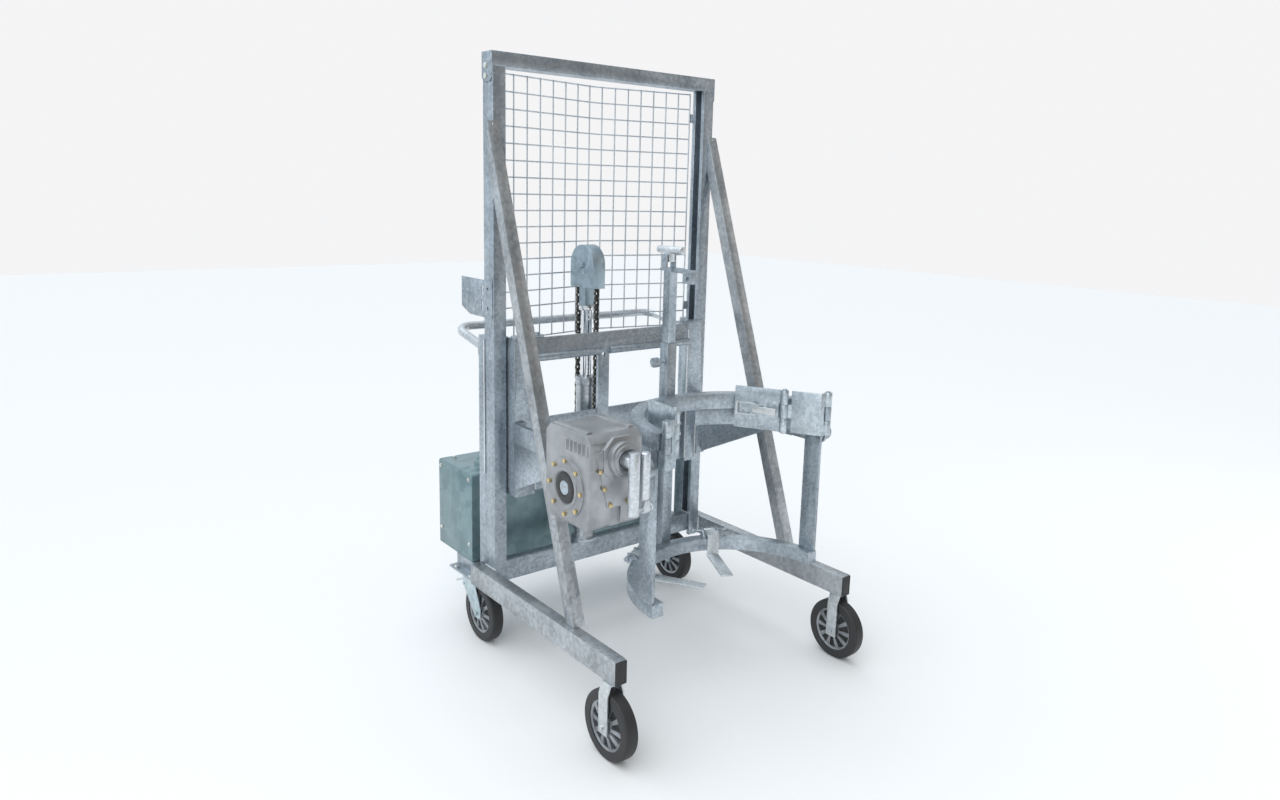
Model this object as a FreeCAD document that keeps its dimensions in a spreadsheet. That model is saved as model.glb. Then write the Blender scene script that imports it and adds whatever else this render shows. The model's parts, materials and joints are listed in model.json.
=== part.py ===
import FreeCAD, Part
import math
import os
import Sketcher

# Drum tipper: a galvanised mast on four wheels with a chain lift, and a cradle that grips
# a 200 litre drum and tips it forward through a hand-cranked worm gearbox.
# X runs across the mast, -Y is the front where the legs point, Z is up, the floor is Z = 0.

os.makedirs("parts", exist_ok=True)
doc = FreeCAD.newDocument("DrumTipper")
sheet = doc.addObject("Spreadsheet::Sheet", "Sizes")


class Size:
    """A length or angle that carries its number and the expression it is bound to."""

    def __init__(self, number, text):
        self.number = float(number)
        self.text = text

    def __add__(self, other):
        other = size_of(other)
        return Size(self.number + other.number, "(%s + %s)" % (self.text, other.text))

    def __radd__(self, other):
        return size_of(other) + self

    def __sub__(self, other):
        other = size_of(other)
        return Size(self.number - other.number, "(%s - %s)" % (self.text, other.text))

    def __rsub__(self, other):
        return size_of(other) - self

    def __mul__(self, other):
        other = size_of(other)
        return Size(self.number * other.number, "(%s * %s)" % (self.text, other.text))

    def __rmul__(self, other):
        return size_of(other) * self

    def __truediv__(self, other):
        other = size_of(other)
        return Size(self.number / other.number, "(%s / %s)" % (self.text, other.text))

    def __rtruediv__(self, other):
        return size_of(other) / self

    def __neg__(self):
        return Size(-self.number, "(0 - %s)" % self.text)


def size_of(value):
    if isinstance(value, Size):
        return value
    return Size(value, "(%s)" % repr(value))


def root(value):
    return Size(math.sqrt(value.number), "sqrt(%s)" % value.text)


def cos(value):
    return Size(math.cos(math.radians(value.number)), "cos(%s)" % value.text)


def sin(value):
    return Size(math.sin(math.radians(value.number)), "sin(%s)" % value.text)


cells = []


def cell(alias, number):
    row = len(cells) + 1
    cells.append(alias)
    sheet.set("A%d" % row, alias)
    sheet.set("B%d" % row, str(number))
    sheet.setAlias("B%d" % row, alias)
    return Size(number, "Sizes.%s" % alias)


def bind(thing, prop, value):
    value = size_of(value)
    thing.setExpression(prop, value.text)


def place(thing, x, y, z, axis=None, angle=None):
    x, y, z = size_of(x), size_of(y), size_of(z)
    turn = FreeCAD.Rotation()
    if axis is not None:
        turn = FreeCAD.Rotation(FreeCAD.Vector(*axis), size_of(angle).number)
    thing.Placement = FreeCAD.Placement(FreeCAD.Vector(x.number, y.number, z.number), turn)
    bind(thing, "Placement.Base.x", x)
    bind(thing, "Placement.Base.y", y)
    bind(thing, "Placement.Base.z", z)
    if isinstance(angle, Size):
        bind(thing, "Placement.Rotation.Angle", angle)


def body(label):
    made = doc.addObject("PartDesign::Body", label)
    made.Label = label
    return made


def sketch(owner, role, offset=0):
    made = owner.newObject("Sketcher::SketchObject", "Sketch")
    plane = [f for f in owner.Origin.OriginFeatures if f.Role == role + "_Plane"][0]
    made.AttachmentSupport = [(plane, "")]
    made.MapMode = "FlatFace"
    offset = size_of(offset)
    made.AttachmentOffset.Base.z = offset.number
    bind(made, "AttachmentOffset.Base.z", offset)
    return made


def outline(sk, points):
    """A closed line through the points, each point held from the sketch's origin."""
    points = [(size_of(u), size_of(v)) for u, v in points]
    spots = [FreeCAD.Vector(u.number, v.number, 0) for u, v in points]
    first = sk.GeometryCount
    count = len(spots)
    for i in range(count):
        sk.addGeometry(Part.LineSegment(spots[i], spots[(i + 1) % count]), False)
    for i in range(count):
        after = (i + 1) % count
        sk.addConstraint(Sketcher.Constraint("Coincident", first + i, 2, first + after, 1))
    for i in range(count):
        for kind, held in (("DistanceX", points[i][0]), ("DistanceY", points[i][1])):
            made = sk.addConstraint(Sketcher.Constraint(kind, -1, 1, first + i, 1, held.number))
            sk.setExpression("Constraints[%d]" % made, held.text)


def circle(sk, u, v, radius):
    u, v, radius = size_of(u), size_of(v), size_of(radius)
    made = sk.addGeometry(Part.Circle(FreeCAD.Vector(u.number, v.number, 0),
                                      FreeCAD.Vector(0, 0, 1), radius.number), False)
    for kind, held in (("DistanceX", u), ("DistanceY", v)):
        rule = sk.addConstraint(Sketcher.Constraint(kind, -1, 1, made, 3, held.number))
        sk.setExpression("Constraints[%d]" % rule, held.text)
    rule = sk.addConstraint(Sketcher.Constraint("Radius", made, radius.number))
    sk.setExpression("Constraints[%d]" % rule, radius.text)


def rectangle(sk, u0, v0, u1, v1):
    outline(sk, [(u0, v0), (u1, v0), (u1, v1), (u0, v1)])


def pad(owner, sk, length, back=False):
    made = owner.newObject("PartDesign::Pad", "Pad")
    made.Profile = sk
    made.Reversed = back
    bind(made, "Length", length)
    sk.Visibility = False
    return made


def pocket(owner, sk, length, back=False):
    made = owner.newObject("PartDesign::Pocket", "Pocket")
    made.Profile = sk
    made.Reversed = back
    bind(made, "Length", length)
    sk.Visibility = False
    return made


def turned(owner, sk, axis, angle=360, cut=False):
    kind = "PartDesign::Groove" if cut else "PartDesign::Revolution"
    made = owner.newObject(kind, "Turn")
    made.Profile = sk
    made.ReferenceAxis = (sk, [axis])
    bind(made, "Angle", angle)
    sk.Visibility = False
    return made


def around(owner, feature, role, count, angle=360):
    """The feature repeated about one of the body's own axes."""
    doc.recompute()
    made = owner.newObject("PartDesign::PolarPattern", "Around")
    made.Originals = [feature]
    axis = [f for f in owner.Origin.OriginFeatures if f.Role == role + "_Axis"][0]
    made.Axis = (axis, [""])
    made.Angle = angle
    made.Occurrences = count
    owner.Tip = made
    return made


def along(owner, feature, role, length, count):
    """The feature repeated in a row along one of the body's own axes."""
    doc.recompute()
    made = owner.newObject("PartDesign::LinearPattern", "Row")
    made.Originals = [feature]
    axis = [f for f in owner.Origin.OriginFeatures if f.Role == role + "_Axis"][0]
    made.Direction = (axis, [""])
    bind(made, "Length", length)
    made.Occurrences = count
    owner.Tip = made
    return made


def block(x0, x1, y0, y1, z0, z1, name="Block"):
    """A Part box between the six sizes."""
    made = doc.addObject("Part::Box", name)
    bind(made, "Length", size_of(x1) - x0)
    bind(made, "Width", size_of(y1) - y0)
    bind(made, "Height", size_of(z1) - z0)
    place(made, x0, y0, z0)
    return made


def rod(axis, x, y, z, radius, length, name="Rod"):
    """A Part cylinder that starts at the point and runs along +X, +Y or +Z."""
    made = doc.addObject("Part::Cylinder", name)
    bind(made, "Radius", radius)
    bind(made, "Height", length)
    if axis == "X":
        place(made, x, y, z, (0, 1, 0), 90)
    elif axis == "Y":
        place(made, x, y, z, (1, 0, 0), -90)
    else:
        place(made, x, y, z)
    return made


def joined(label, things):
    made = doc.addObject("Part::MultiFuse", label)
    made.Label = label
    made.Shapes = things
    return made


# Sizes of the mast and its feet.
mast_width = cell("mast_width", 900)
mast_height = cell("mast_height", 1938)
upright_width = cell("upright_width", 45)
upright_depth = cell("upright_depth", 60)
upright_wall = cell("upright_wall", 5)
upright_lip = cell("upright_lip", 15)
crossbar_height = cell("crossbar_height", 44)
end_plate = cell("end_plate", 4)
end_plate_drop = cell("end_plate_drop", 88)
tube_wall = cell("tube_wall", 3)
leg_width = cell("leg_width", 40)
leg_height = cell("leg_height", 70)
leg_top = cell("leg_top", 297)
leg_front = cell("leg_front", 711)
leg_rear = cell("leg_rear", 93)
brace_size = cell("brace_size", 40)
brace_top = cell("brace_top", 1735)
brace_foot = cell("brace_foot", 490)
beam_front = cell("beam_front", 10)
beam_depth = cell("beam_depth", 40)
beam_height = cell("beam_height", 68)
beam_top = cell("beam_top", 313)
post_top = cell("post_top", 1070)
half = mast_width / 2
rail = half - upright_width
leg_floor = leg_top - leg_height


# Mast uprights: lipped channels, open towards each other, that the lift rollers run in.
def upright(label, side):
    made = body(label)
    outer, inner = half * side, rail * side
    skin = upright_wall * side
    sk = sketch(made, "XY", leg_floor)
    outline(sk, [(outer, 0), (inner, 0), (inner, upright_lip), (inner + skin, upright_lip),
                 (inner + skin, upright_wall), (outer - skin, upright_wall),
                 (outer - skin, upright_depth - upright_wall),
                 (inner + skin, upright_depth - upright_wall),
                 (inner + skin, upright_depth - upright_lip),
                 (inner, upright_depth - upright_lip), (inner, upright_depth),
                 (outer, upright_depth)])
    pad(made, sk, mast_height - crossbar_height - leg_floor)
    return made


mast_left = upright("mast_left", -1)
mast_right = upright("mast_right", 1)

# Top crossbar: a tube across both uprights with an end plate down each outer side.
top_crossbar = body("top_crossbar")
sk = sketch(top_crossbar, "YZ", -half)
rectangle(sk, 0, mast_height - crossbar_height, upright_depth, mast_height)
rectangle(sk, tube_wall, mast_height - crossbar_height + tube_wall,
          upright_depth - tube_wall, mast_height - tube_wall)
pad(top_crossbar, sk, mast_width)
for start in (-half - end_plate, half):
    sk = sketch(top_crossbar, "YZ", start)
    low = mast_height - end_plate_drop
    outline(sk, [(0, low + 12), (12, low), (upright_depth - 12, low),
                 (upright_depth, low + 12), (upright_depth, mast_height), (0, mast_height)])
    pad(top_crossbar, sk, end_plate)


# Legs: open rectangular tubes on the outer side of each upright, pointing forward.
def leg(label, start):
    made = body(label)
    sk = sketch(made, "XZ", -leg_rear)
    rectangle(sk, start, leg_floor, start + leg_width, leg_top)
    rectangle(sk, start + tube_wall, leg_floor + tube_wall,
              start + leg_width - tube_wall, leg_top - tube_wall)
    pad(made, sk, leg_front + leg_rear)
    return made


leg_left = leg("leg_left", -half - leg_width)
leg_right = leg("leg_right", half)


# Braces: square tubes from the front of each upright down to the top of its leg.
def brace(label, start):
    made = body(label)
    rise = brace_top - leg_top
    slope = root(rise * rise + brace_foot * brace_foot)
    sk = sketch(made, "YZ", start)
    outline(sk, [(0, brace_top), (0, brace_top - brace_size * slope / brace_foot),
                 (brace_size * slope / rise - brace_foot, leg_top), (-brace_foot, leg_top)])
    pad(made, sk, brace_size)
    sk = sketch(made, "YZ", start + tube_wall)
    skin = tube_wall * slope / brace_foot
    lean = tube_wall * slope / rise
    outline(sk, [(0, brace_top - skin), (0, brace_top - brace_size * slope / brace_foot + skin),
                 (brace_size * slope / rise - brace_foot - lean, leg_top),
                 (lean - brace_foot, leg_top)])
    pocket(made, sk, brace_size - tube_wall * 2, True)
    return made


brace_left = brace("brace_left", -half - brace_size / 2)
brace_right = brace("brace_right", half - brace_size / 2)

# Base beam: ties the feet of the uprights and carries the lift cylinder.
base_beam = body("base_beam")
sk = sketch(base_beam, "YZ", -rail)
rectangle(sk, beam_front, beam_top - beam_height, beam_front + beam_depth, beam_top)
rectangle(sk, beam_front + tube_wall, beam_top - beam_height + tube_wall,
          beam_front + beam_depth - tube_wall, beam_top - tube_wall)
pad(base_beam, sk, rail * 2)

# Sizes of the feet at the back, the handle, the guard and the hydraulic box.
post_size = cell("post_size", 40)
foot_plate = cell("foot_plate", 7)
foot_floor = cell("foot_floor", 225)
foot_start = cell("foot_start", 108)
foot_length = cell("foot_length", 160)
foot_width = cell("foot_width", 110)
foot_inner = cell("foot_inner", 370)
handle_radius = cell("handle_radius", 14)
handle_reach = cell("handle_reach", 198)
handle_start = cell("handle_start", 1026)
handle_slope = cell("handle_slope", 12)
handle_bend = cell("handle_bend", 60)
guard_half = cell("guard_half", 394)
guard_floor = cell("guard_floor", 1046)
guard_height = cell("guard_height", 840)
guard_depth = cell("guard_depth", 80)
wire = cell("wire", 4)
pack_left = cell("pack_left", -450)
pack_length = cell("pack_length", 800)
pack_front = cell("pack_front", 157)
pack_depth = cell("pack_depth", 243)
pack_height = cell("pack_height", 313)
rail_floor = foot_floor + foot_plate
rail_top = cell("rail_top", 270)
hinge_gap = cell("running_gap", 0.05)


# Rear feet: a caster plate under a short tube, and a capped post up the back of the upright.
def rear_foot(label, side):
    made = body(label)
    outer, inner = half * side, (half - post_size) * side
    sk = sketch(made, "XY", foot_floor)
    rectangle(sk, foot_inner * side, foot_start, (foot_inner + foot_width) * side,
              foot_start + foot_length)
    pad(made, sk, foot_plate)
    sk = sketch(made, "XZ", -upright_depth)
    outline(sk, [(outer, rail_floor), (outer, rail_top), (inner, rail_top), (inner, rail_floor)])
    pad(made, sk, foot_start + foot_length - upright_depth, True)
    sk = sketch(made, "XY", rail_top)
    rectangle(sk, inner, upright_depth, outer, upright_depth + post_size)
    pad(made, sk, post_top - rail_top)
    return made


caster_bracket_left = rear_foot("caster_bracket_left", -1)
caster_bracket_right = rear_foot("caster_bracket_right", 1)

# Push handle: one bent tube between two pads on the back of the rear posts.
handle = body("push_handle")
sk = sketch(handle, "XY")
side = half - post_size / 2
turn = side - handle_bend
spots = [(-side, 0), (-side, handle_reach - handle_bend), (-turn, handle_reach),
         (turn, handle_reach), (side, handle_reach - handle_bend), (side, 0)]
spots = [FreeCAD.Vector(size_of(u).number, size_of(v).number, 0) for u, v in spots]
sk.addGeometry(Part.LineSegment(spots[0], spots[1]), False)
low = FreeCAD.Vector(-turn.number, (handle_reach - handle_bend).number, 0)
corner = Part.Circle(low, FreeCAD.Vector(0, 0, 1), handle_bend.number)
sk.addGeometry(Part.ArcOfCircle(corner, math.pi / 2, math.pi), False)
sk.addGeometry(Part.LineSegment(spots[2], spots[3]), False)
low = FreeCAD.Vector(turn.number, (handle_reach - handle_bend).number, 0)
corner = Part.Circle(low, FreeCAD.Vector(0, 0, 1), handle_bend.number)
sk.addGeometry(Part.ArcOfCircle(corner, 0, math.pi / 2), False)
sk.addGeometry(Part.LineSegment(spots[4], spots[5]), False)
for rule in (("Tangent", 0, 2, 1, 2), ("Tangent", 1, 1, 2, 1), ("Tangent", 2, 2, 3, 2),
             ("Tangent", 3, 1, 4, 1), ("Vertical", 0), ("Horizontal", 2), ("Vertical", 4)):
    sk.addConstraint(Sketcher.Constraint(*rule))
for kind, which, end, held in (("DistanceX", 0, 1, -side), ("DistanceY", 0, 1, size_of(0)),
                               ("DistanceX", 4, 2, side), ("DistanceY", 4, 2, size_of(0)),
                               ("DistanceY", 2, 1, handle_reach)):
    made = sk.addConstraint(Sketcher.Constraint(kind, -1, 1, which, end, held.number))
    sk.setExpression("Constraints[%d]" % made, held.text)
for which in (1, 3):
    made = sk.addConstraint(Sketcher.Constraint("Radius", which, handle_bend.number))
    sk.setExpression("Constraints[%d]" % made, handle_bend.text)
round_end = sketch(handle, "XZ")
circle(round_end, -side, 0, handle_radius)
circle(round_end, -side, 0, handle_radius - 2.5)
pipe = handle.newObject("PartDesign::AdditivePipe", "Tube")
pipe.Profile = round_end
pipe.Spine = (sk, [])
place(handle, 0, upright_depth + post_size + 3.6, handle_start, (1, 0, 0), handle_slope)
pads = [block(-half, -(half - post_size), upright_depth + post_size,
              upright_depth + post_size + 4, handle_start - 22, handle_start + 22),
        block(half - post_size, half, upright_depth + post_size,
              upright_depth + post_size + 4, handle_start - 22, handle_start + 22)]
handle.Label = "handle_tube"
push_handle = joined("push_handle", [handle] + pads)

# Guard: two flat panels of cross and upright wires that meet at a shallow fold behind the
# chain wheel, each with two tabs to its upright.
fold_x = cell("fold_x", 25)
fold_gap = cell("fold_gap", 0.3)


def guard_panel(label, side):
    made = body(label + "_wires")
    end = guard_half * side
    fold = fold_x + fold_gap * side / 2
    back = upright_depth + guard_depth
    sk = sketch(made, "XY", guard_floor)
    outline(sk, [(end, upright_depth), (fold, back - wire), (fold, back),
                 (end, upright_depth + wire)])
    strand = pad(made, sk, wire)
    along(made, strand, "Z", guard_height - wire, 17)
    sk = sketch(made, "XY", guard_floor)
    for i in range(8):
        across = fold + (end - fold) * ((i + 0.5) / 7.5) - wire / 2
        deep = back - guard_depth * ((i + 0.5) / 7.5)
        rectangle(sk, across - wire / 2, deep - wire * 0.7, across + wire / 2,
                  deep + wire * 0.5)
    pad(made, sk, guard_height)
    fused = [made]
    near, far = end - 6 * side, (rail + 20) * side
    low, high = (near, far) if side > 0 else (far, near)
    for level in (guard_floor + 60, guard_floor + guard_height - 100):
        fused.append(block(low, high, upright_depth, upright_depth + 4, level, level + 30))
    return joined(label, fused)


mesh_guard = doc.addObject("Part::Compound", "mesh_guard")
mesh_guard.Label = "mesh_guard"
mesh_guard.Links = [guard_panel("guard_left", -1), guard_panel("guard_right", 1)]

# Hydraulic box: a folded cover on two rails that rest on the rear feet.
power = body("box_cover")
sk = sketch(power, "YZ", pack_left)
top = rail_top + pack_height
back = pack_front + pack_depth
outline(sk, [(pack_front, rail_top), (back, rail_top), (back, top - 8), (back - 8, top),
             (pack_front + 8, top), (pack_front, top - 8)])
pad(power, sk, pack_length)
filler = rod("Z", pack_left + 70, pack_front + 70, top, 19, 22, "Filler")
neck = rod("Z", pack_left + 70, pack_front + 70, top + 22, 12, 16, "Filler")
base = block(-(half - post_size), half - post_size, foot_start + 56, foot_start + 92,
             rail_floor, rail_top)
power_pack = joined("power_pack", [power, filler, neck, base])

# Control bracket: slotted sheet on the outer side of the left upright.
control_bracket = body("control_bracket")
bracket_floor = cell("bracket_floor", 1131)
bracket_height = cell("bracket_height", 119)
sk = sketch(control_bracket, "YZ", -half - 3)
outline(sk, [(5, bracket_floor), (150, bracket_floor), (205, bracket_floor + 22),
             (205, bracket_floor + bracket_height), (5, bracket_floor + bracket_height)])
for low in (20, 70):
    rectangle(sk, upright_depth + 4, bracket_floor + low, upright_depth + 12,
              bracket_floor + low + 30)
circle(sk, 33, bracket_floor + 30, 5)
circle(sk, 33, bracket_floor + 92, 5)
pad(control_bracket, sk, 3)

# Lift cylinder: barrel with a hollow bore, a gland at the top and a lug for the chain's end.
cylinder_x = cell("cylinder_x", -70)
cylinder_y = cell("cylinder_y", 35)
barrel_radius = cell("barrel_radius", 33.5)
barrel_top = cell("barrel_top", 905)
rod_radius = cell("rod_radius", 19.5)
piston_radius = cell("piston_radius", 28.5)
rod_top = cell("rod_top", 1150)
anchor_rear = cell("anchor_rear", 640)
chain_width = cell("chain_width", 20)
chain_depth = cell("chain_depth", 16)
sheave_z = cell("sheave_z", 1290)
sheave_y = cell("sheave_y", 33)
sheave_pitch = cell("sheave_pitch", 53)
barrel = body("barrel_tube")
sk = sketch(barrel, "XZ")
bore = piston_radius + hinge_gap
outline(sk, [(0, beam_top), (46, beam_top), (46, beam_top + 8), (barrel_radius, beam_top + 8),
             (barrel_radius, barrel_top - 28), (36, barrel_top - 26), (36, barrel_top),
             (rod_radius + hinge_gap, barrel_top), (rod_radius + hinge_gap, barrel_top - 40),
             (bore, barrel_top - 40), (bore, beam_top + 9), (0, beam_top + 9)])
turned(barrel, sk, "V_Axis")
place(barrel, cylinder_x, cylinder_y, 0)
lug = block(cylinder_x - 14, cylinder_x + 14, cylinder_y + 31, sheave_y + sheave_pitch + 10,
            anchor_rear - 34, anchor_rear)
port = rod("Y", cylinder_x, cylinder_y + 31, beam_top + 30, 11, 26, "Port")
cylinder_barrel = joined("cylinder_barrel", [barrel, lug, port])

# Chrome rod with its piston and the collar under the chain wheel.
cylinder_rod = body("cylinder_rod")
sk = sketch(cylinder_rod, "XZ")
outline(sk, [(0, 430), (piston_radius, 430), (piston_radius, 460), (rod_radius, 460),
             (rod_radius, rod_top - 15), (27, rod_top - 15), (27, rod_top), (0, rod_top)])
turned(cylinder_rod, sk, "V_Axis")
place(cylinder_rod, cylinder_x, cylinder_y, 0)

# Chain wheel cover: round-topped sheet box, open below, on a neck block with the wheel's pin.
cover_radius = cell("cover_radius", 66)
cover_width = cell("cover_width", 50)
cover_floor = cell("cover_floor", 1212)
cover = body("cover_shell")
for start, depth, reach, cut in ((-cover_width / 2, cover_width, cover_radius, False),
                                 (4 - cover_width / 2, cover_width - 8, cover_radius - 3, True)):
    for round_part in (False, True):
        sk = sketch(cover, "YZ", start)
        if round_part:
            circle(sk, 0, 0, reach)
        else:
            rectangle(sk, -reach, cover_floor - sheave_z, reach, 0)
        if cut:
            pocket(cover, sk, depth, True)
        else:
            pad(cover, sk, depth)
place(cover, cylinder_x, sheave_y, sheave_z)
neck = block(cylinder_x - cover_width / 2 + 4, cylinder_x + cover_width / 2 - 4,
             sheave_y - 18, sheave_y + 18, rod_top, cover_floor + 14)
pin = rod("X", cylinder_x - cover_width / 2 - 5, sheave_y, sheave_z, 9, cover_width + 10, "Pin")
pin_head = doc.addObject("Part::Prism", "PinHead")
pin_head.Polygon = 6
bind(pin_head, "Circumradius", 14)
bind(pin_head, "Height", 8)
place(pin_head, cylinder_x - cover_width / 2 - 8, sheave_y, sheave_z, (0, 1, 0), 90)
sheave_housing = joined("sheave_housing", [cover, neck, pin, pin_head])

# Chain wheel: flanged on both sides of the chain.
sheave_wheel = body("sheave_wheel")
sk = sketch(sheave_wheel, "XY")
groove = sheave_pitch - chain_depth / 2 - 0.4
outline(sk, [(-18, 9 + hinge_gap), (18, 9 + hinge_gap), (18, sheave_pitch + 5),
             (12, sheave_pitch + 5), (11, groove), (-11, groove), (-12, sheave_pitch + 5),
             (-18, sheave_pitch + 5)])
turned(sheave_wheel, sk, "H_Axis")
place(sheave_wheel, cylinder_x, sheave_y, sheave_z)
anchor_front = cell("anchor_front", 750)


# Chain strands: a row of waisted links between the wheel and each anchor.
def strand_of_chain(label, y, start, links):
    made = body(label)
    sk = sketch(made, "YZ", -chain_width / 2)
    deep = chain_depth / 2
    step = (sheave_z - start) / links
    outline(sk, [(-deep, 0), (deep, 0), (deep, step * 0.75), (deep * 0.6, step),
                 (-deep * 0.6, step), (-deep, step * 0.75)])
    link = pad(made, sk, chain_width)
    along(made, link, "Z", sheave_z - start - step, links)
    place(made, cylinder_x, y, start)
    return made


chain_front = strand_of_chain("chain_front", sheave_y - sheave_pitch, anchor_front, 28)
chain_rear = strand_of_chain("chain_rear", sheave_y + sheave_pitch, anchor_rear, 34)

# Carriage posts: boxes in front of the uprights with a web back to the rollers' axles, and
# a rounded flange plate bolted on top.
carriage_half = cell("carriage_half", 400)
carriage_bar = cell("carriage_bar", 74)
carriage_floor = cell("carriage_floor", 550)
carriage_height = cell("carriage_height", 520)
carriage_front = cell("carriage_front", 45)
carriage_depth = cell("carriage_depth", 32)
carriage_web = cell("carriage_web", 10)
carriage_back = cell("carriage_back", 50)
roller_radius = cell("roller_radius", 24.7)
roller_width = cell("roller_width", 26)
roller_low = cell("roller_low", 600)
roller_rise = cell("roller_rise", 420)
carriage_top = carriage_floor + carriage_height


def carriage_post(label, side):
    made = body(label + "_bar")
    outer, inner = carriage_half * side, (carriage_half - carriage_bar) * side
    web = (carriage_half - carriage_web) * side
    back = carriage_depth - carriage_front
    sk = sketch(made, "XY", carriage_floor)
    outline(sk, [(outer, -carriage_front), (inner, -carriage_front), (inner, back), (web, back),
                 (web, carriage_back), (outer, carriage_back)])
    pad(made, sk, carriage_height)
    sk = sketch(made, "XY", carriage_top)
    rectangle(sk, inner - 34 * side, -carriage_front, outer - 12 * side, back)
    pad(made, sk, 7)
    sk = sketch(made, "XY", carriage_top)
    circle(sk, outer - 12 * side, back / 2 - carriage_front / 2, carriage_depth / 2)
    pad(made, sk, 7)
    pins = []
    low = carriage_half if side > 0 else -(carriage_half + upright_width - 6)
    for level in (roller_low, roller_low + roller_rise):
        pins.append(rod("X", low, upright_depth / 2, level, 12, upright_width - 6, "Axle"))
    head = doc.addObject("Part::Prism", "Head")
    head.Polygon = 6
    bind(head, "Circumradius", 9)
    bind(head, "Height", 7)
    place(head, inner - 18 * side, back / 2 - carriage_front / 2, carriage_top + 7)
    return joined(label, [made] + pins + [head])


carriage_post_left = carriage_post("carriage_post_left", -1)
carriage_post_right = carriage_post("carriage_post_right", 1)


# Guide rollers: run between the flanges of the mast channels.
def guide_roller(label, side, level):
    made = body(label)
    sk = sketch(made, "XY")
    w = roller_width / 2
    outline(sk, [(-w, 12 + hinge_gap), (w, 12 + hinge_gap), (w, roller_radius - 2),
                 (w - 2, roller_radius), (2 - w, roller_radius), (-w, roller_radius - 2)])
    turned(made, sk, "H_Axis")
    place(made, (half - upright_wall - roller_width / 2 - 3) * side, upright_depth / 2, level)
    return made


for label, side, level in (("guide_roller_ul", -1, roller_low + roller_rise),
                           ("guide_roller_ll", -1, roller_low),
                           ("guide_roller_ur", 1, roller_low + roller_rise),
                           ("guide_roller_lr", 1, roller_low)):
    guide_roller(label, side, level)

# Carriage top beam with a round spreader tube welded under it on both sides of the member.
top_beam_low = cell("top_beam_low", 1016)
top_beam_height = cell("top_beam_height", 52)
top_beam_depth = cell("top_beam_depth", 11)
spreader_radius = cell("spreader_radius", 12.5)
inside = carriage_half - carriage_bar
beam = body("beam_tube")
sk = sketch(beam, "YZ", -inside)
front = -carriage_front
rectangle(sk, front, top_beam_low, front + top_beam_depth, top_beam_low + top_beam_height)
rectangle(sk, front + tube_wall, top_beam_low + tube_wall, front + top_beam_depth - tube_wall,
          top_beam_low + top_beam_height - tube_wall)
pad(beam, sk, inside * 2)
member_left = cell("member_left", -76)
member_width = cell("member_width", 46)
fused = [beam]
for start, stop in ((-inside, member_left), (member_left + member_width, inside)):
    fused.append(rod("X", start, front + top_beam_depth - spreader_radius,
                     top_beam_low + 0.5 - spreader_radius, spreader_radius, stop - start,
                     "Spreader"))
carriage_top_beam = joined("carriage_top_beam", fused)

# Carriage plate: the wide back plate, the flat member up its middle and the chain's anchor.
plate_front = cell("plate_front", 37)
plate_thick = cell("plate_thick", 7)
plate_low = cell("plate_low", 560)
plate_top = cell("plate_top", 802)
plate = block(-inside, inside, -plate_front, plate_thick - plate_front, plate_low, plate_top)
member = body("member")
sk = sketch(member, "XZ", carriage_front - top_beam_depth)
rectangle(sk, member_left, plate_top - 60, member_left + member_width, top_beam_low)
circle(sk, member_left + member_width / 2, top_beam_low - 24, 7)
pad(member, sk, top_beam_depth)
anchor = block(cylinder_x - 10, cylinder_x + 10, plate_thick - plate_front, -9,
               anchor_front - 40, anchor_front)
carriage_plate = joined("carriage_plate", [plate, member, anchor])

# Arms: plates that run forward from the carriage to the tilt axis, deep at the mast.
tilt_y = cell("tilt_y", -605)
tilt_z = cell("tilt_z", 775)
arm_top = cell("arm_top", 800)
arm_low = cell("arm_low", 575)
arm_thick = cell("arm_thick", 12)
arm_step = cell("arm_step", -400)
arm_front_low = cell("arm_front_low", 742)
arm_left_outer = cell("arm_left_outer", -405)
arm_right_inner = cell("arm_right_inner", 405)
shaft_radius = cell("shaft_radius", 19)
eye_radius = cell("eye_radius", 35)
arm_flange = cell("arm_flange", 40)


def arm(label, start, flange_a, flange_b, band):
    made = body(label)
    sk = sketch(made, "YZ", start)
    outline(sk, [(-carriage_front, arm_low), (-carriage_front, arm_top), (tilt_y, arm_top),
                 (tilt_y, arm_front_low), (arm_step, arm_front_low)])
    pad(made, sk, arm_thick)
    sk = sketch(made, "YZ", start)
    circle(sk, tilt_y, tilt_z, eye_radius)
    pad(made, sk, arm_thick)
    sk = sketch(made, "YZ", start)
    circle(sk, tilt_y, tilt_z, shaft_radius + hinge_gap)
    pocket(made, sk, arm_thick, True)
    sk = sketch(made, "XY", arm_low)
    rectangle(sk, flange_a, -carriage_front - 10, flange_b, -carriage_front)
    pad(made, sk, arm_top - arm_low)
    sk = sketch(made, "YZ", band)
    rectangle(sk, -carriage_front - 440, arm_top - 65, -carriage_front, arm_top)
    pad(made, sk, 4)
    return made


arm_left = arm("arm_left", arm_left_outer, arm_left_outer, arm_left_outer + arm_flange,
               arm_left_outer - 4)
arm_right = arm("arm_right", arm_right_inner, arm_right_inner + arm_thick - arm_flange,
                arm_right_inner + arm_thick, arm_right_inner + arm_thick)

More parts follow.
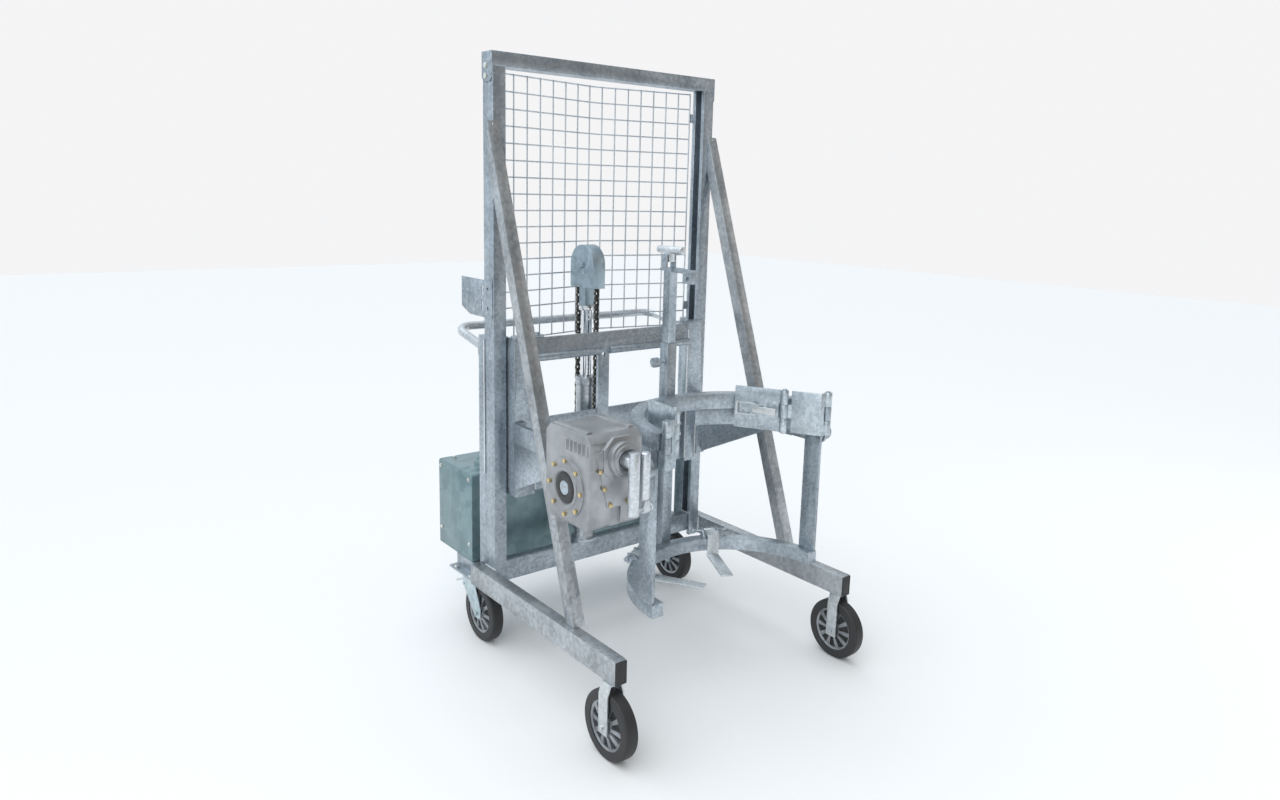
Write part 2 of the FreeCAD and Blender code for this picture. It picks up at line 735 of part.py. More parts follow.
# Worm gearbox: a cast box between round output covers, the outer one with eight lobes; the
# front has a raised panel, an octagonal input flange with a stepped boss and a cast pocket.
box_outer = cell("box_outer", -578)
box_width = cell("box_width", 166)
box_floor = cell("box_floor", 680)
box_top = cell("box_top", 930)
box_front = cell("box_front", -705)
box_back = cell("box_back", -505)
cover_flange = cell("cover_flange", 80)
cover_thick = cell("cover_thick", 6)
worm_x = cell("worm_x", -484)
worm_centres = cell("worm_centres", 90)
boss_length = cell("boss_length", 34)
worm_z = tilt_z + worm_centres
cover_face = box_outer - cover_thick
shaft_end = cover_face - 3
crank_bore = cell("crank_bore", 12)
gear = body("gear_case")
sk = sketch(gear, "YZ", box_outer)
outline(sk, [(box_front, box_floor + 10), (box_front + 10, box_floor), (box_back - 30, box_floor),
             (box_back, box_floor + 30), (box_back, box_top - 20), (box_back - 20, box_top),
             (box_front + 20, box_top), (box_front, box_top - 20)])
pad(gear, sk, box_width)
sk = sketch(gear, "YZ", cover_face)
circle(sk, tilt_y, tilt_z, cover_flange)
pad(gear, sk, cover_thick)
sk = sketch(gear, "YZ", cover_face - 3)
circle(sk, tilt_y, tilt_z, 56)
circle(sk, tilt_y, tilt_z, 45)
pad(gear, sk, 3)
sk = sketch(gear, "YZ", box_outer + box_width)
circle(sk, tilt_y, tilt_z, cover_flange - 12)
pad(gear, sk, arm_left_outer - box_outer - box_width)
sk = sketch(gear, "XZ", -box_front)
outline(sk, [(box_outer + 16, worm_z + 24), (box_outer + 55, tilt_z - 39),
             (box_outer + 126, tilt_z - 39), (box_outer + box_width - 8, worm_z + 24)])
pad(gear, sk, 6)
sk = sketch(gear, "XZ", -box_front)
c, d = 28, 58
outline(sk, [(worm_x - d, worm_z - c), (worm_x - c, worm_z - d), (worm_x + c, worm_z - d),
             (worm_x + d, worm_z - c), (worm_x + d, worm_z + c), (worm_x + c, worm_z + d),
             (worm_x - c, worm_z + d), (worm_x - d, worm_z + c)])
pad(gear, sk, 12)
for reach, length in ((47, boss_length - 6), (39, boss_length)):
    sk = sketch(gear, "XZ", -box_front)
    circle(sk, worm_x, worm_z, reach)
    pad(gear, sk, length)
sk = sketch(gear, "XY", box_top)
for off in (8, box_width - 26):
    rectangle(sk, box_outer + off, box_front + 26, box_outer + off + 18, box_back - 26)
pad(gear, sk, 6)
sk = sketch(gear, "YZ", box_outer - 5)
rectangle(sk, box_front + 8, box_top - 54, box_front + 13, box_top - 24)
rib = pad(gear, sk, 5)
along(gear, rib, "Y", 90, 6)
sk = sketch(gear, "XZ", -box_front)
rectangle(sk, box_outer + 70, box_floor, box_outer + 101, tilt_z - 42)
pocket(gear, sk, 10)
sk = sketch(gear, "XZ", -box_front + boss_length)
circle(sk, worm_x, worm_z, 27)
pocket(gear, sk, 8)
sk = sketch(gear, "YZ", cover_face - 3)
circle(sk, tilt_y, tilt_z, shaft_radius + hinge_gap)
pocket(gear, sk, 200, True)
sk = sketch(gear, "XZ", -box_front + boss_length)
circle(sk, worm_x, worm_z, crank_bore + hinge_gap)
pocket(gear, sk, 130)
gear.Label = "gearbox_housing"

# Gearbox screws: eight round the output cover and four along the front panel's edges.
cover_screws = body("cover_screws")
sk = sketch(cover_screws, "YZ", 0)
circle(sk, 0, cover_flange - 8, 6)
screw = pad(cover_screws, sk, 6, True)
around(cover_screws, screw, "X", 8)
place(cover_screws, cover_face, tilt_y, tilt_z)
fused = [cover_screws]
for across, level in ((28, tilt_z + 63), (42, tilt_z + 15), (62, tilt_z - 31),
                      (119, tilt_z - 31)):
    fused.append(rod("Y", box_outer + across, box_front - 11, level, 6, 5, "Screw"))
gearbox_bolts = joined("gearbox_bolts", fused)

# Crank: a stepped stub in the worm's bore and a round arm that hangs from it, with the pivot
# pin across its lower end.
crank_y = cell("crank_y", -766)
crank_drop = cell("crank_drop", 127)
crank_tube = cell("crank_tube", 15)
grip_offset = cell("grip_offset", 36)
grip_tube = cell("grip_tube", 13)
grip_length = cell("grip_length", 150)
pivot_radius = cell("pivot_radius", 5)
hub = body("crank_hub")
sk = sketch(hub, "XZ", 0)
circle(sk, 0, 0, crank_bore)
pad(hub, sk, 150, True)
sk = sketch(hub, "XZ", 0)
circle(sk, 0, 0, 20)
pad(hub, sk, box_front - boss_length + 6 - crank_y, True)
place(hub, worm_x, crank_y, worm_z)
arm_tube = rod("Z", worm_x, crank_y, worm_z - crank_drop - 12, crank_tube, crank_drop + 38,
               "ArmTube")
pivot = rod("X", worm_x, crank_y, worm_z - crank_drop, pivot_radius, grip_offset + 22, "Pivot")
pivot_head = doc.addObject("Part::Prism", "PivotHead")
pivot_head.Polygon = 6
bind(pivot_head, "Circumradius", 9)
bind(pivot_head, "Height", 6)
place(pivot_head, worm_x + grip_offset + 18, crank_y, worm_z - crank_drop, (0, 1, 0), 90)
crank_arm = joined("crank_arm", [hub, arm_tube, pivot, pivot_head])

# Crank grip: a tube beside the arm, folded up, with a flattened eye on the pivot pin.
grip = body("crank_grip")
sk = sketch(grip, "YZ", -9)
circle(sk, 0, 0, 12)
pad(grip, sk, 18)
sk = sketch(grip, "YZ", -9)
rectangle(sk, -12, 0, 12, 24)
pad(grip, sk, 18)
sk = sketch(grip, "XZ", 0)
outline(sk, [(0, 20), (9, 20), (grip_tube, 28), (grip_tube, grip_length - 4),
             (grip_tube - 4, grip_length), (0, grip_length)])
turned(grip, sk, "V_Axis")
sk = sketch(grip, "YZ", -9)
circle(sk, 0, 0, pivot_radius + hinge_gap)
pocket(grip, sk, 18, True)
place(grip, worm_x + grip_offset, crank_y, worm_z - crank_drop)

# Cradle rings: half hoops of square tube open at the front, stiffened at the ends.
ring_x = cell("ring_x", 45)
ring_y = cell("ring_y", -640)
ring_inner = cell("ring_inner", 310)
ring_outer = cell("ring_outer", 350)
upper_low = cell("upper_low", 835)
upper_height = cell("upper_height", 50)
lower_low = cell("lower_low", 340)
lower_height = cell("lower_height", 40)
jaw_pin_y = cell("jaw_pin_y", -655)
jaw_right_out = cell("jaw_right_out", 13)
knuckle = cell("knuckle", 13)
pin_radius = cell("pin_radius", 7)
jaw_low = cell("jaw_low", 782)
jaw_height = cell("jaw_height", 138)
ring_mid = (ring_inner + ring_outer) / 2
third = jaw_height / 3
knuckle_low = jaw_low + third
back_half = ring_outer + ring_y


def hoop(name, low, height, wall):
    made = body(name)
    sk = sketch(made, "XZ", 0)
    rectangle(sk, ring_inner, low, ring_outer, low + height)
    rectangle(sk, ring_inner + wall, low + wall, ring_outer - wall, low + height - wall)
    turned(made, sk, "V_Axis", 180)
    place(made, ring_x, ring_y, 0)
    return made


upper = hoop("upper_hoop", upper_low, upper_height, tube_wall)
fused = [upper]
for side in (-1, 1):
    end_x = ring_x + ring_mid * side
    pin_x = end_x + jaw_right_out if side > 0 else end_x
    fused.append(block(end_x - 20, end_x + 20, ring_y, ring_y + 4, upper_low,
                       upper_low + upper_height, "EndCap"))
    fused.append(block(pin_x - 6, pin_x + 6, jaw_pin_y, ring_y + 2, upper_low + 2,
                       knuckle_low + third - 1, "Web"))
    fused.append(rod("Z", pin_x, jaw_pin_y, knuckle_low + 0.5, knuckle, third - 1, "Knuckle"))
    fused.append(rod("Z", pin_x, jaw_pin_y, jaw_low - 4, pin_radius, jaw_height + 8, "Pin"))
fused.append(block(ring_x - 24, ring_x + 24, back_half - 12, back_half, upper_low + 4,
                   upper_low + upper_height - 4, "Pad"))
ring_upper = joined("ring_upper", fused)

lower = hoop("lower_hoop", lower_low, lower_height, tube_wall)
fused = [lower, block(ring_x - 24, ring_x + 24, back_half - 12, back_half, lower_low + 4,
                      lower_low + lower_height - 4, "Pad")]
for side in (-1, 1):
    pin_x = ring_x + ring_mid * side
    fused.append(block(pin_x - 20, pin_x + 20, ring_y, ring_y + 4, lower_low,
                       lower_low + lower_height, "EndCap"))
finger_pin_r = cell("finger_pin_r", 358)
finger_pin_z = cell("finger_pin_z", 392)
finger_left_angle = cell("finger_left_angle", 119)
finger_right_angle = cell("finger_right_angle", 63)
finger_width = cell("finger_width", 40)
finger_hang = cell("finger_hang", 20)
for angle in (finger_left_angle, finger_right_angle):
    ears = body("finger_ears")
    for side in (-1, 1):
        sk = sketch(ears, "XZ", side * 26 - 3)
        outline(sk, [(ring_inner + 14, lower_low + lower_height), (finger_pin_r + 10,
                     lower_low + lower_height - 16), (finger_pin_r + 10, finger_pin_z + 8),
                     (finger_pin_r - 8, finger_pin_z + 8)])
        pad(ears, sk, 6)
    sk = sketch(ears, "XZ", -62)
    circle(sk, finger_pin_r, finger_pin_z, 4)
    pad(ears, sk, 124)
    for start in (-62, 53):
        sk = sketch(ears, "XZ", start)
        circle(sk, finger_pin_r, finger_pin_z, 8)
        pad(ears, sk, 9)
    place(ears, ring_x, ring_y, 0, (0, 0, 1), angle)
    fused.append(ears)
ring_lower = joined("ring_lower", fused)


# Fingers: folded straps hung over the lower ring that carry the drum's bottom edge.
def finger(label, angle, reach):
    made = body(label)
    sk = sketch(made, "XZ", -finger_width / 2)
    in_face = ring_inner - 1
    floor = lower_low - finger_hang
    eye = finger_pin_r
    outline(sk, [(ring_inner - reach, floor), (in_face, floor), (in_face, finger_pin_z - 5),
                 (eye, finger_pin_z - 5), (eye, finger_pin_z + 5), (in_face - 6, finger_pin_z + 5),
                 (in_face - 6, floor + 6), (ring_inner - reach, floor + 6)])
    pad(made, sk, finger_width)
    sk = sketch(made, "XZ", -finger_width / 2)
    circle(sk, eye, finger_pin_z, 8)
    pad(made, sk, finger_width)
    sk = sketch(made, "XZ", -finger_width / 2)
    circle(sk, eye, finger_pin_z, 4 + hinge_gap)
    pocket(made, sk, finger_width, True)
    place(made, ring_x, ring_y, 0, (0, 0, 1), angle)
    return made


finger_left = finger("finger_left", finger_left_angle, 195)
finger_right = finger("finger_right", finger_right_angle, 175)

# Side bars: flat bars between the rings; the left one carries the gearbox shaft, the right
# one the bearing stub and the tapered skirt under the upper ring.
bar_front = cell("bar_front", -635)
bar_depth = cell("bar_depth", 63)
bar_thick = cell("bar_thick", 10)
bar_low = lower_low + lower_height
left_face = ring_x - ring_outer
right_face = ring_x + ring_outer
bar_l = block(left_face, left_face + bar_thick, bar_front, bar_front + bar_depth, bar_low,
              upper_low)
shaft = rod("X", shaft_end, tilt_y, tilt_z, shaft_radius, left_face + 5 - shaft_end, "Shaft")
hub_l = rod("X", -388, tilt_y, tilt_z, 31, left_face + 388, "Hub")
bar_left = joined("bar_left", [bar_l, shaft, hub_l])
bar_r = block(right_face - bar_thick, right_face, bar_front, bar_front + bar_depth, bar_low,
              upper_low - 57)
stub = rod("X", right_face - 5, tilt_y, tilt_z, shaft_radius, 60, "Stub")
stub_cap = rod("X", arm_right_inner + arm_thick + 1, tilt_y, tilt_z, 27, 26, "StubCap")
hub_r = rod("X", right_face - 1, tilt_y, tilt_z, 31, 8, "Hub")
skirt = body("skirt")
sk = sketch(skirt, "XZ", 0)
rectangle(sk, ring_outer - 8, upper_low - 62, ring_outer, upper_low)
turned(skirt, sk, "V_Axis", 75)
sk = sketch(skirt, "XZ", -ring_outer - 20)
outline(sk, [(ring_outer * 0.25 - 10, upper_low - 2), (ring_outer * 0.62, upper_low - 37),
             (ring_outer * 0.76, upper_low - 50), (ring_outer * 0.91, upper_low - 58),
             (ring_outer * 0.91, upper_low - 70), (ring_outer * 0.25 - 10, upper_low - 70)])
pocket(skirt, sk, ring_outer + 20)
sk = sketch(skirt, "YZ", ring_outer - 40)
rectangle(sk, 30, upper_low - 12, 85, upper_low + 5)
pocket(skirt, sk, 60, True)
place(skirt, ring_x, ring_y, 0)
bar_right = joined("bar_right", [bar_r, stub, stub_cap, hub_r, skirt])

# Spine: square sleeve up the back of both rings with a clamp screw for the sliding post.
spine_x = cell("spine_x", 40)
spine_size = cell("spine_size", 38)
spine_low = cell("spine_low", 345)
spine_top = cell("spine_top", 1055)
inner_size = cell("inner_size", 31)
spine = body("spine_tube")
spine_y = back_half + spine_size / 2
sk = sketch(spine, "XY", spine_low)
rectangle(sk, spine_x - spine_size / 2, back_half, spine_x + spine_size / 2,
          back_half + spine_size)
reach = inner_size / 2 + hinge_gap
rectangle(sk, spine_x - reach, spine_y - reach, spine_x + reach, spine_y + reach)
pad(spine, sk, spine_top - spine_low)
screw = rod("X", spine_x - spine_size / 2 - 26, spine_y, spine_top - 60, 6, 26, "Screw")
knob = rod("X", spine_x - spine_size / 2 - 44, spine_y, spine_top - 60, 16, 20, "Knob")
spine_sleeve = joined("spine_sleeve", [spine, screw, knob])

# Hold-down post: slides in the spine and carries the rim hook and the lever's bracket.
head_z = cell("head_z", 1290)
hook_front = cell("hook_front", -385)
lever_pin_y = cell("lever_pin_y", -262)
lever_pin_z = cell("lever_pin_z", 1330)
inner_post = block(spine_x - inner_size / 2, spine_x + inner_size / 2, spine_y - inner_size / 2,
                   spine_y + inner_size / 2, 700, head_z)
cap = block(spine_x - 26, spine_x + 26, back_half - 14, back_half + spine_size + 4, head_z,
            head_z + 8)
tongue = block(spine_x - 14, spine_x + 14, hook_front + 20, back_half, head_z - 4, head_z + 8)
hook = body("rim_hook")
sk = sketch(hook, "YZ", -14)
outline(sk, [(0, 2), (0, -35), (10, -35), (10, -12), (24, -12), (24, -35), (40, -35),
             (40, 2), (32, 8), (8, 8)])
pad(hook, sk, 28)
place(hook, spine_x, hook_front, head_z)
lug_a = block(spine_x - 20, spine_x - 15, lever_pin_y - 12, lever_pin_y + 12, head_z + 8,
              lever_pin_z + 12)
lug_b = block(spine_x + 15, spine_x + 20, lever_pin_y - 12, lever_pin_y + 12, head_z + 8,
              lever_pin_z + 12)
lug_pin = rod("X", spine_x - 24, lever_pin_y, lever_pin_z, 5, 48, "LugPin")
holddown_post = joined("holddown_post", [inner_post, cap, tongue, hook, lug_a, lug_b, lug_pin])

# Hold-down lever: a short tube on a link that turns on the bracket above the post.
lever = body("lever_link")
sk = sketch(lever, "YZ", -12)
outline(sk, [(-13, -13), (13, -13), (13, 13), (8, 26), (-8, 26), (-13, 13)])
circle(sk, 0, 0, 5 + hinge_gap)
pad(lever, sk, 24)
place(lever, spine_x, lever_pin_y, lever_pin_z)
lever_tube = rod("Y", spine_x, lever_pin_y - 66, lever_pin_z + 25, 12, 116, "LeverTube")
holddown_lever = joined("holddown_lever", [lever, lever_tube])

# Jaws: on each side a short link from the ring's pin and a longer curved plate behind it.
link_left_length = cell("link_left_length", 158)
link_left_angle = cell("link_left_angle", 40.6)
link_right_length = cell("link_right_length", 137)
link_right_angle = cell("link_right_angle", 46.8)
flap_left_length = cell("flap_left_length", 134)
flap_left_angle = cell("flap_left_angle", 88)
flap_right_length = cell("flap_right_length", 164)
flap_right_angle = cell("flap_right_angle", 61.6)
sheet_thick = cell("sheet_thick", 6)
left_pin_x = ring_x - ring_mid
right_pin_x = ring_x + ring_mid + jaw_right_out


def knuckles(owner, x, y, spans, bore):
    """Knuckles about a vertical pin, each span a start height and a length."""
    for low, length in spans:
        sk = sketch(owner, "XY", low)
        circle(sk, x, y, knuckle)
        pad(owner, sk, length)
    for low, length in spans:
        if bore:
            sk = sketch(owner, "XY", low)
            circle(sk, x, y, pin_radius + hinge_gap)
            pocket(owner, sk, length, True)


outer_spans = [(jaw_low, third - 0.5), (jaw_low + third * 2 + 0.5, third - 0.5)]
inner_span = [(jaw_low + third + 0.5, third - 1)]
left_tip_x = link_left_length * cos(link_left_angle)
left_tip_y = link_left_length * sin(link_left_angle)
right_tip_x = link_right_length * cos(link_right_angle)
right_tip_y = link_right_length * sin(link_right_angle)


def link_plate(label, side, pin_x, tip_x, tip_y):
    made = body(label + "_plate")
    t = sheet_thick
    turn_x = tip_x - 15
    turn_y = tip_y - 17
    sk = sketch(made, "XY", jaw_low)
    outline(sk, [(17 * side, -t / 2), (34 * side, -t / 2), (turn_x * side, turn_y - t),
                 (turn_x * side, turn_y), (31 * side, t / 2), (17 * side, t / 2)])
    pad(made, sk, jaw_height)
    for low, length in outer_spans:
        sk = sketch(made, "XY", low)
        outline(sk, [(0, -t / 2), (20 * side, -t / 2), (20 * side, t / 2), (0, t / 2)])
        pad(made, sk, length)
    for low, length in inner_span:
        sk = sketch(made, "XY", low)
        outline(sk, [((turn_x - 2) * side, turn_y - t), (tip_x * side, tip_y - 4),
                     (tip_x * side, tip_y + 4), ((turn_x - 4) * side, turn_y - 2)])
        pad(made, sk, length)
    knuckles(made, 0, 0, outer_spans, True)
    knuckles(made, tip_x * side, tip_y, inner_span, False)
    place(made, pin_x, jaw_pin_y, 0)
    pin = rod("Z", pin_x + tip_x * side, jaw_pin_y + tip_y, jaw_low - 4, pin_radius,
              jaw_height + 8, "JawPin")
    return joined(label, [made, pin])


jaw_link_left = link_plate("jaw_link_left", 1, left_pin_x, left_tip_x, left_tip_y)
jaw_link_right = link_plate("jaw_link_right", -1, right_pin_x, right_tip_x, right_tip_y)


def flap(label, side, pin_x, pin_y, length, angle, bulge):
    """Flap in its own axes, running along +X from its pin, placed at the second pin."""
    made = body(label)
    t = sheet_thick
    sk = sketch(made, "XY", jaw_low)
    b = bulge * side
    outline(sk, [(17, -t / 2), (length * 0.4, b * 0.8 - t / 2), (length * 0.7, b - t / 2),
                 (length, b * 0.7 - t / 2), (length, b * 0.7 + t / 2),
                 (length * 0.7, b + t / 2), (length * 0.4, b * 0.8 + t / 2), (17, t / 2)])
    pad(made, sk, jaw_height)
    for low, span in outer_spans:
        sk = sketch(made, "XY", low)
        rectangle(sk, 0, -t / 2, 20, t / 2)
        pad(made, sk, span)
    knuckles(made, 0, 0, outer_spans, True)
    turn = angle if side > 0 else 180 - angle
    place(made, pin_x, pin_y, 0, (0, 0, 1), turn)
    return made


jaw_flap_left = flap("jaw_flap_left", 1, left_pin_x + left_tip_x, jaw_pin_y + left_tip_y,
                     flap_left_length, flap_left_angle, -6)
plate_b = flap("flap_right_plate", -1, right_pin_x - right_tip_x, jaw_pin_y + right_tip_y,
               flap_right_length, flap_right_angle, 0)

# Toggle latch on the right jaw plate: base, lever and the hook that pulls the jaws shut.
latch_z = cell("latch_z", 850)
latch_at = cell("latch_at", 96)
latch_off = cell("latch_off", 14)
b_x = right_pin_x - right_tip_x
b_y = jaw_pin_y + right_tip_y
b_turn = 180 - flap_right_angle
latch_base = body("latch_base")
for side in (-1, 1):
    sk = sketch(latch_base, "XY", latch_z + side * 14 - 2)
    outline(sk, [(latch_at - 34, 2), (latch_at + 20, 2), (latch_at + 10, latch_off + 6),
                 (latch_at - 10, latch_off + 6)])
    pad(latch_base, sk, 4)
sk = sketch(latch_base, "XY", latch_z - 16)
rectangle(sk, latch_at - 40, 2, latch_at + 26, 5)
pad(latch_base, sk, 32)
sk = sketch(latch_base, "XY", latch_z - 18)
circle(sk, latch_at, latch_off, 3)
pad(latch_base, sk, 36)
place(latch_base, b_x, b_y, 0, (0, 0, 1), b_turn)
jaw_plate_right = joined("jaw_plate_right", [plate_b, latch_base])
latch_lever = body("latch_lever")
sk = sketch(latch_lever, "XY", latch_z - 11)
outline(sk, [(4, -5), (4, 5), (-20, 5), (-74, 14), (-75, 10), (-20, 0), (-6, -5)])
circle(sk, 0, 0, 3 + hinge_gap)
pad(latch_lever, sk, 22)
place(latch_lever, b_x + latch_at * cos(b_turn) - latch_off * sin(b_turn),
      b_y + latch_at * sin(b_turn) + latch_off * cos(b_turn), 0, (0, 0, 1), b_turn)
latch_hook = body("latch_hook")
for start in (-20, 16.5):
    sk = sketch(latch_hook, "XY", latch_z + start)
    outline(sk, [(-5, -4), (5, -4), (62, -7), (62, 1), (5, 4), (-5, 4)])
    circle(sk, 0, 0, 3 + hinge_gap)
    pad(latch_hook, sk, 3.5)
sk = sketch(latch_hook, "XY", latch_z - 20)
rectangle(sk, 56, -7, 62, 1)
pad(latch_hook, sk, 40)
place(latch_hook, b_x + latch_at * cos(b_turn) - latch_off * sin(b_turn),
      b_y + latch_at * sin(b_turn) + latch_off * cos(b_turn), 0, (0, 0, 1), b_turn)

# Front wheels' forks: one flat strap bent over each wheel, with the axle through it.
wheel_radius = cell("wheel_radius", 100)
front_axle_x = cell("front_axle_x", 476)
front_axle_y = cell("front_axle_y", -680)
axle_radius = cell("axle_radius", 8)
fork_half = cell("fork_half", 24)
hub_half = cell("hub_half", 23)
tyre_half = cell("tyre_half", 21)


def front_fork(label, side):
    made = body(label)
    sk = sketch(made, "XZ", -20)
    w, t = fork_half, 5
    outline(sk, [(-w, 78), (-w - t, 78), (-w - t, 196), (10 - w - t, leg_floor),
                 (w + t - 10, leg_floor), (w + t, 196), (w + t, 78), (w, 78), (w, 194),
                 (w - 8, leg_floor - t), (8 - w, leg_floor - t), (-w, 194)])
    pad(made, sk, 40)
    sk = sketch(made, "YZ", -w - t - 8)
    circle(sk, 0, wheel_radius, axle_radius)
    pad(made, sk, (w + t + 8) * 2)
    place(made, front_axle_x * side, front_axle_y, 0)
    return made


front_fork_left = front_fork("front_fork_left", -1)
front_fork_right = front_fork("front_fork_right", 1)


# Wheels: moulded tyre on a rim with five windows round a wide hub.
def wheel(label, x, y):
    made = body(label)
    sk = sketch(made, "XY")
    r = wheel_radius
    bore = axle_radius + hinge_gap
    h, e = hub_half, tyre_half
    outline(sk, [(-h, bore), (h, bore), (h, 22), (8, 24), (8, r - 30), (e - 3, r - 26),
                 (e, r - 14), (e - 4, r - 5), (e - 12, r), (12 - e, r), (4 - e, r - 5),
                 (-e, r - 14), (3 - e, r - 26), (-8, r - 30), (-8, 24), (-h, 22)])
    turned(made, sk, "H_Axis")
    sk = sketch(made, "YZ", -10)
    outline(sk, [(-9, 33), (9, 33), (16, 62), (-16, 62)])
    window = pocket(made, sk, 20, True)
    around(made, window, "X", 5)
    place(made, x, y, wheel_radius)
    return made


caster_x = cell("caster_x", 425)
swivel_y = cell("swivel_y", 185)
trail = cell("trail", 65)
wheel_fl = wheel("wheel_fl", -front_axle_x, front_axle_y)
wheel_fr = wheel("wheel_fr", front_axle_x, front_axle_y)
wheel_rl = wheel("wheel_rl", -caster_x, swivel_y - trail)
wheel_rr = wheel("wheel_rr", caster_x, swivel_y - trail)


# Swivel casters: two pressed cheeks under a turret that turns below the foot plate.
def caster_fork(label, side):
    made = body(label)
    w, t = fork_half, 4
    sk = sketch(made, "XY", foot_floor - 12)
    circle(sk, 0, 0, 34)
    pad(made, sk, 11.5)
    sk = sketch(made, "XY", foot_floor - 17)
    outline(sk, [(-w - t, -42), (w + t, -42), (w + t, 36), (-w - t, 36)])
    pad(made, sk, 5)
    for start in (-w - t, w):
        sk = sketch(made, "YZ", start)
        outline(sk, [(36, foot_floor - 12), (36, foot_floor - 50), (22 - trail, wheel_radius - 14),
                     (8 - trail, wheel_radius - 20), (-8 - trail, wheel_radius - 20),
                     (-22 - trail, wheel_radius - 12), (-22 - trail, wheel_radius + 20),
                     (-42, foot_floor - 12)])
        pad(made, sk, t)
    sk = sketch(made, "YZ", -w - t - 8)
    circle(sk, -trail, wheel_radius, axle_radius)
    pad(made, sk, (w + t + 8) * 2)
    sk = sketch(made, "YZ", -w - t - 4)
    circle(sk, 26, foot_floor - 50, 5)
    pad(made, sk, (w + t + 4) * 2)
    place(made, caster_x * side, swivel_y, 0)
    return made


caster_fork_left = caster_fork("caster_fork_left", -1)
caster_fork_right = caster_fork("caster_fork_right", 1)


# Brake pedals: bent plates that turn on the cross pin behind each caster wheel.
def pedal(label, side):
    made = body(label)
    sk = sketch(made, "YZ", -22)
    circle(sk, 0, 0, 10)
    pad(made, sk, 44)
    sk = sketch(made, "YZ", -22)
    outline(sk, [(0, 4), (0, 9), (24, 9), (70, -12), (68, -17), (22, 4)])
    pad(made, sk, 44)
    sk = sketch(made, "YZ", -22)
    circle(sk, 0, 0, 5 + hinge_gap)
    pocket(made, sk, 44, True)
    place(made, caster_x * side, swivel_y + 26, foot_floor - 50)
    return made


pedal_left = pedal("pedal_left", -1)
pedal_right = pedal("pedal_right", 1)

# Frame bolts: hexagon heads on the top bar's end plates and on the caster plates.
heads = []
for side in (-1, 1):
    for drop in (72, 42):
        head = doc.addObject("Part::Prism", "Head")
        head.Polygon = 6
        bind(head, "Circumradius", 9)
        bind(head, "Height", 7)
        start = half + end_plate if side > 0 else -half - end_plate - 7
        place(head, start, upright_depth / 2, mast_height - drop, (0, 1, 0), 90)
        heads.append(head)
    for across in (foot_inner + 15, foot_inner + foot_width - 10):
        for deep in (foot_start + 22, foot_start + foot_length - 36):
            head = doc.addObject("Part::Prism", "Head")
            head.Polygon = 6
            bind(head, "Circumradius", 9)
            bind(head, "Height", 7)
            place(head, across * side, deep, foot_floor + foot_plate)
            heads.append(head)
frame_bolts = joined("frame_bolts", heads)

doc.recompute()
nodes = ["mast_left", "mast_right", "top_crossbar", "leg_left", "leg_right", "brace_left",
         "brace_right", "base_beam", "caster_bracket_left", "caster_bracket_right",
         "push_handle", "mesh_guard", "power_pack", "control_bracket", "cylinder_barrel",
         "front_fork_left", "front_fork_right", "frame_bolts", "chain_rear", "cylinder_rod",
         "sheave_housing", "chain_front", "sheave_wheel", "carriage_post_left",
         "carriage_post_right", "carriage_top_beam", "carriage_plate", "arm_left", "arm_right",
         "gearbox_housing", "gearbox_bolts", "guide_roller_ul", "guide_roller_ll",
         "guide_roller_ur", "guide_roller_lr", "crank_arm", "crank_grip", "ring_upper",
         "ring_lower", "bar_left", "bar_right", "spine_sleeve", "finger_left", "finger_right",
         "holddown_post", "holddown_lever", "jaw_link_left", "jaw_link_right",
         "jaw_flap_left", "jaw_plate_right", "latch_lever", "latch_hook", "wheel_fl",
         "wheel_fr", "wheel_rl", "wheel_rr", "caster_fork_left", "caster_fork_right",
         "pedal_left", "pedal_right"]
for made in doc.Objects:
    for flag in ("Invalid", "Error"):
        if flag in made.State:
            raise RuntimeError("%s is in state %s" % (made.Label, flag))
for label in nodes:
    made = doc.getObjectsByLabel(label)[0]
    if made.Shape.isNull() or not made.Shape.isValid():
        raise RuntimeError("%s has no sound shape" % label)
    made.Shape.exportStep("parts/%s.step" % label)
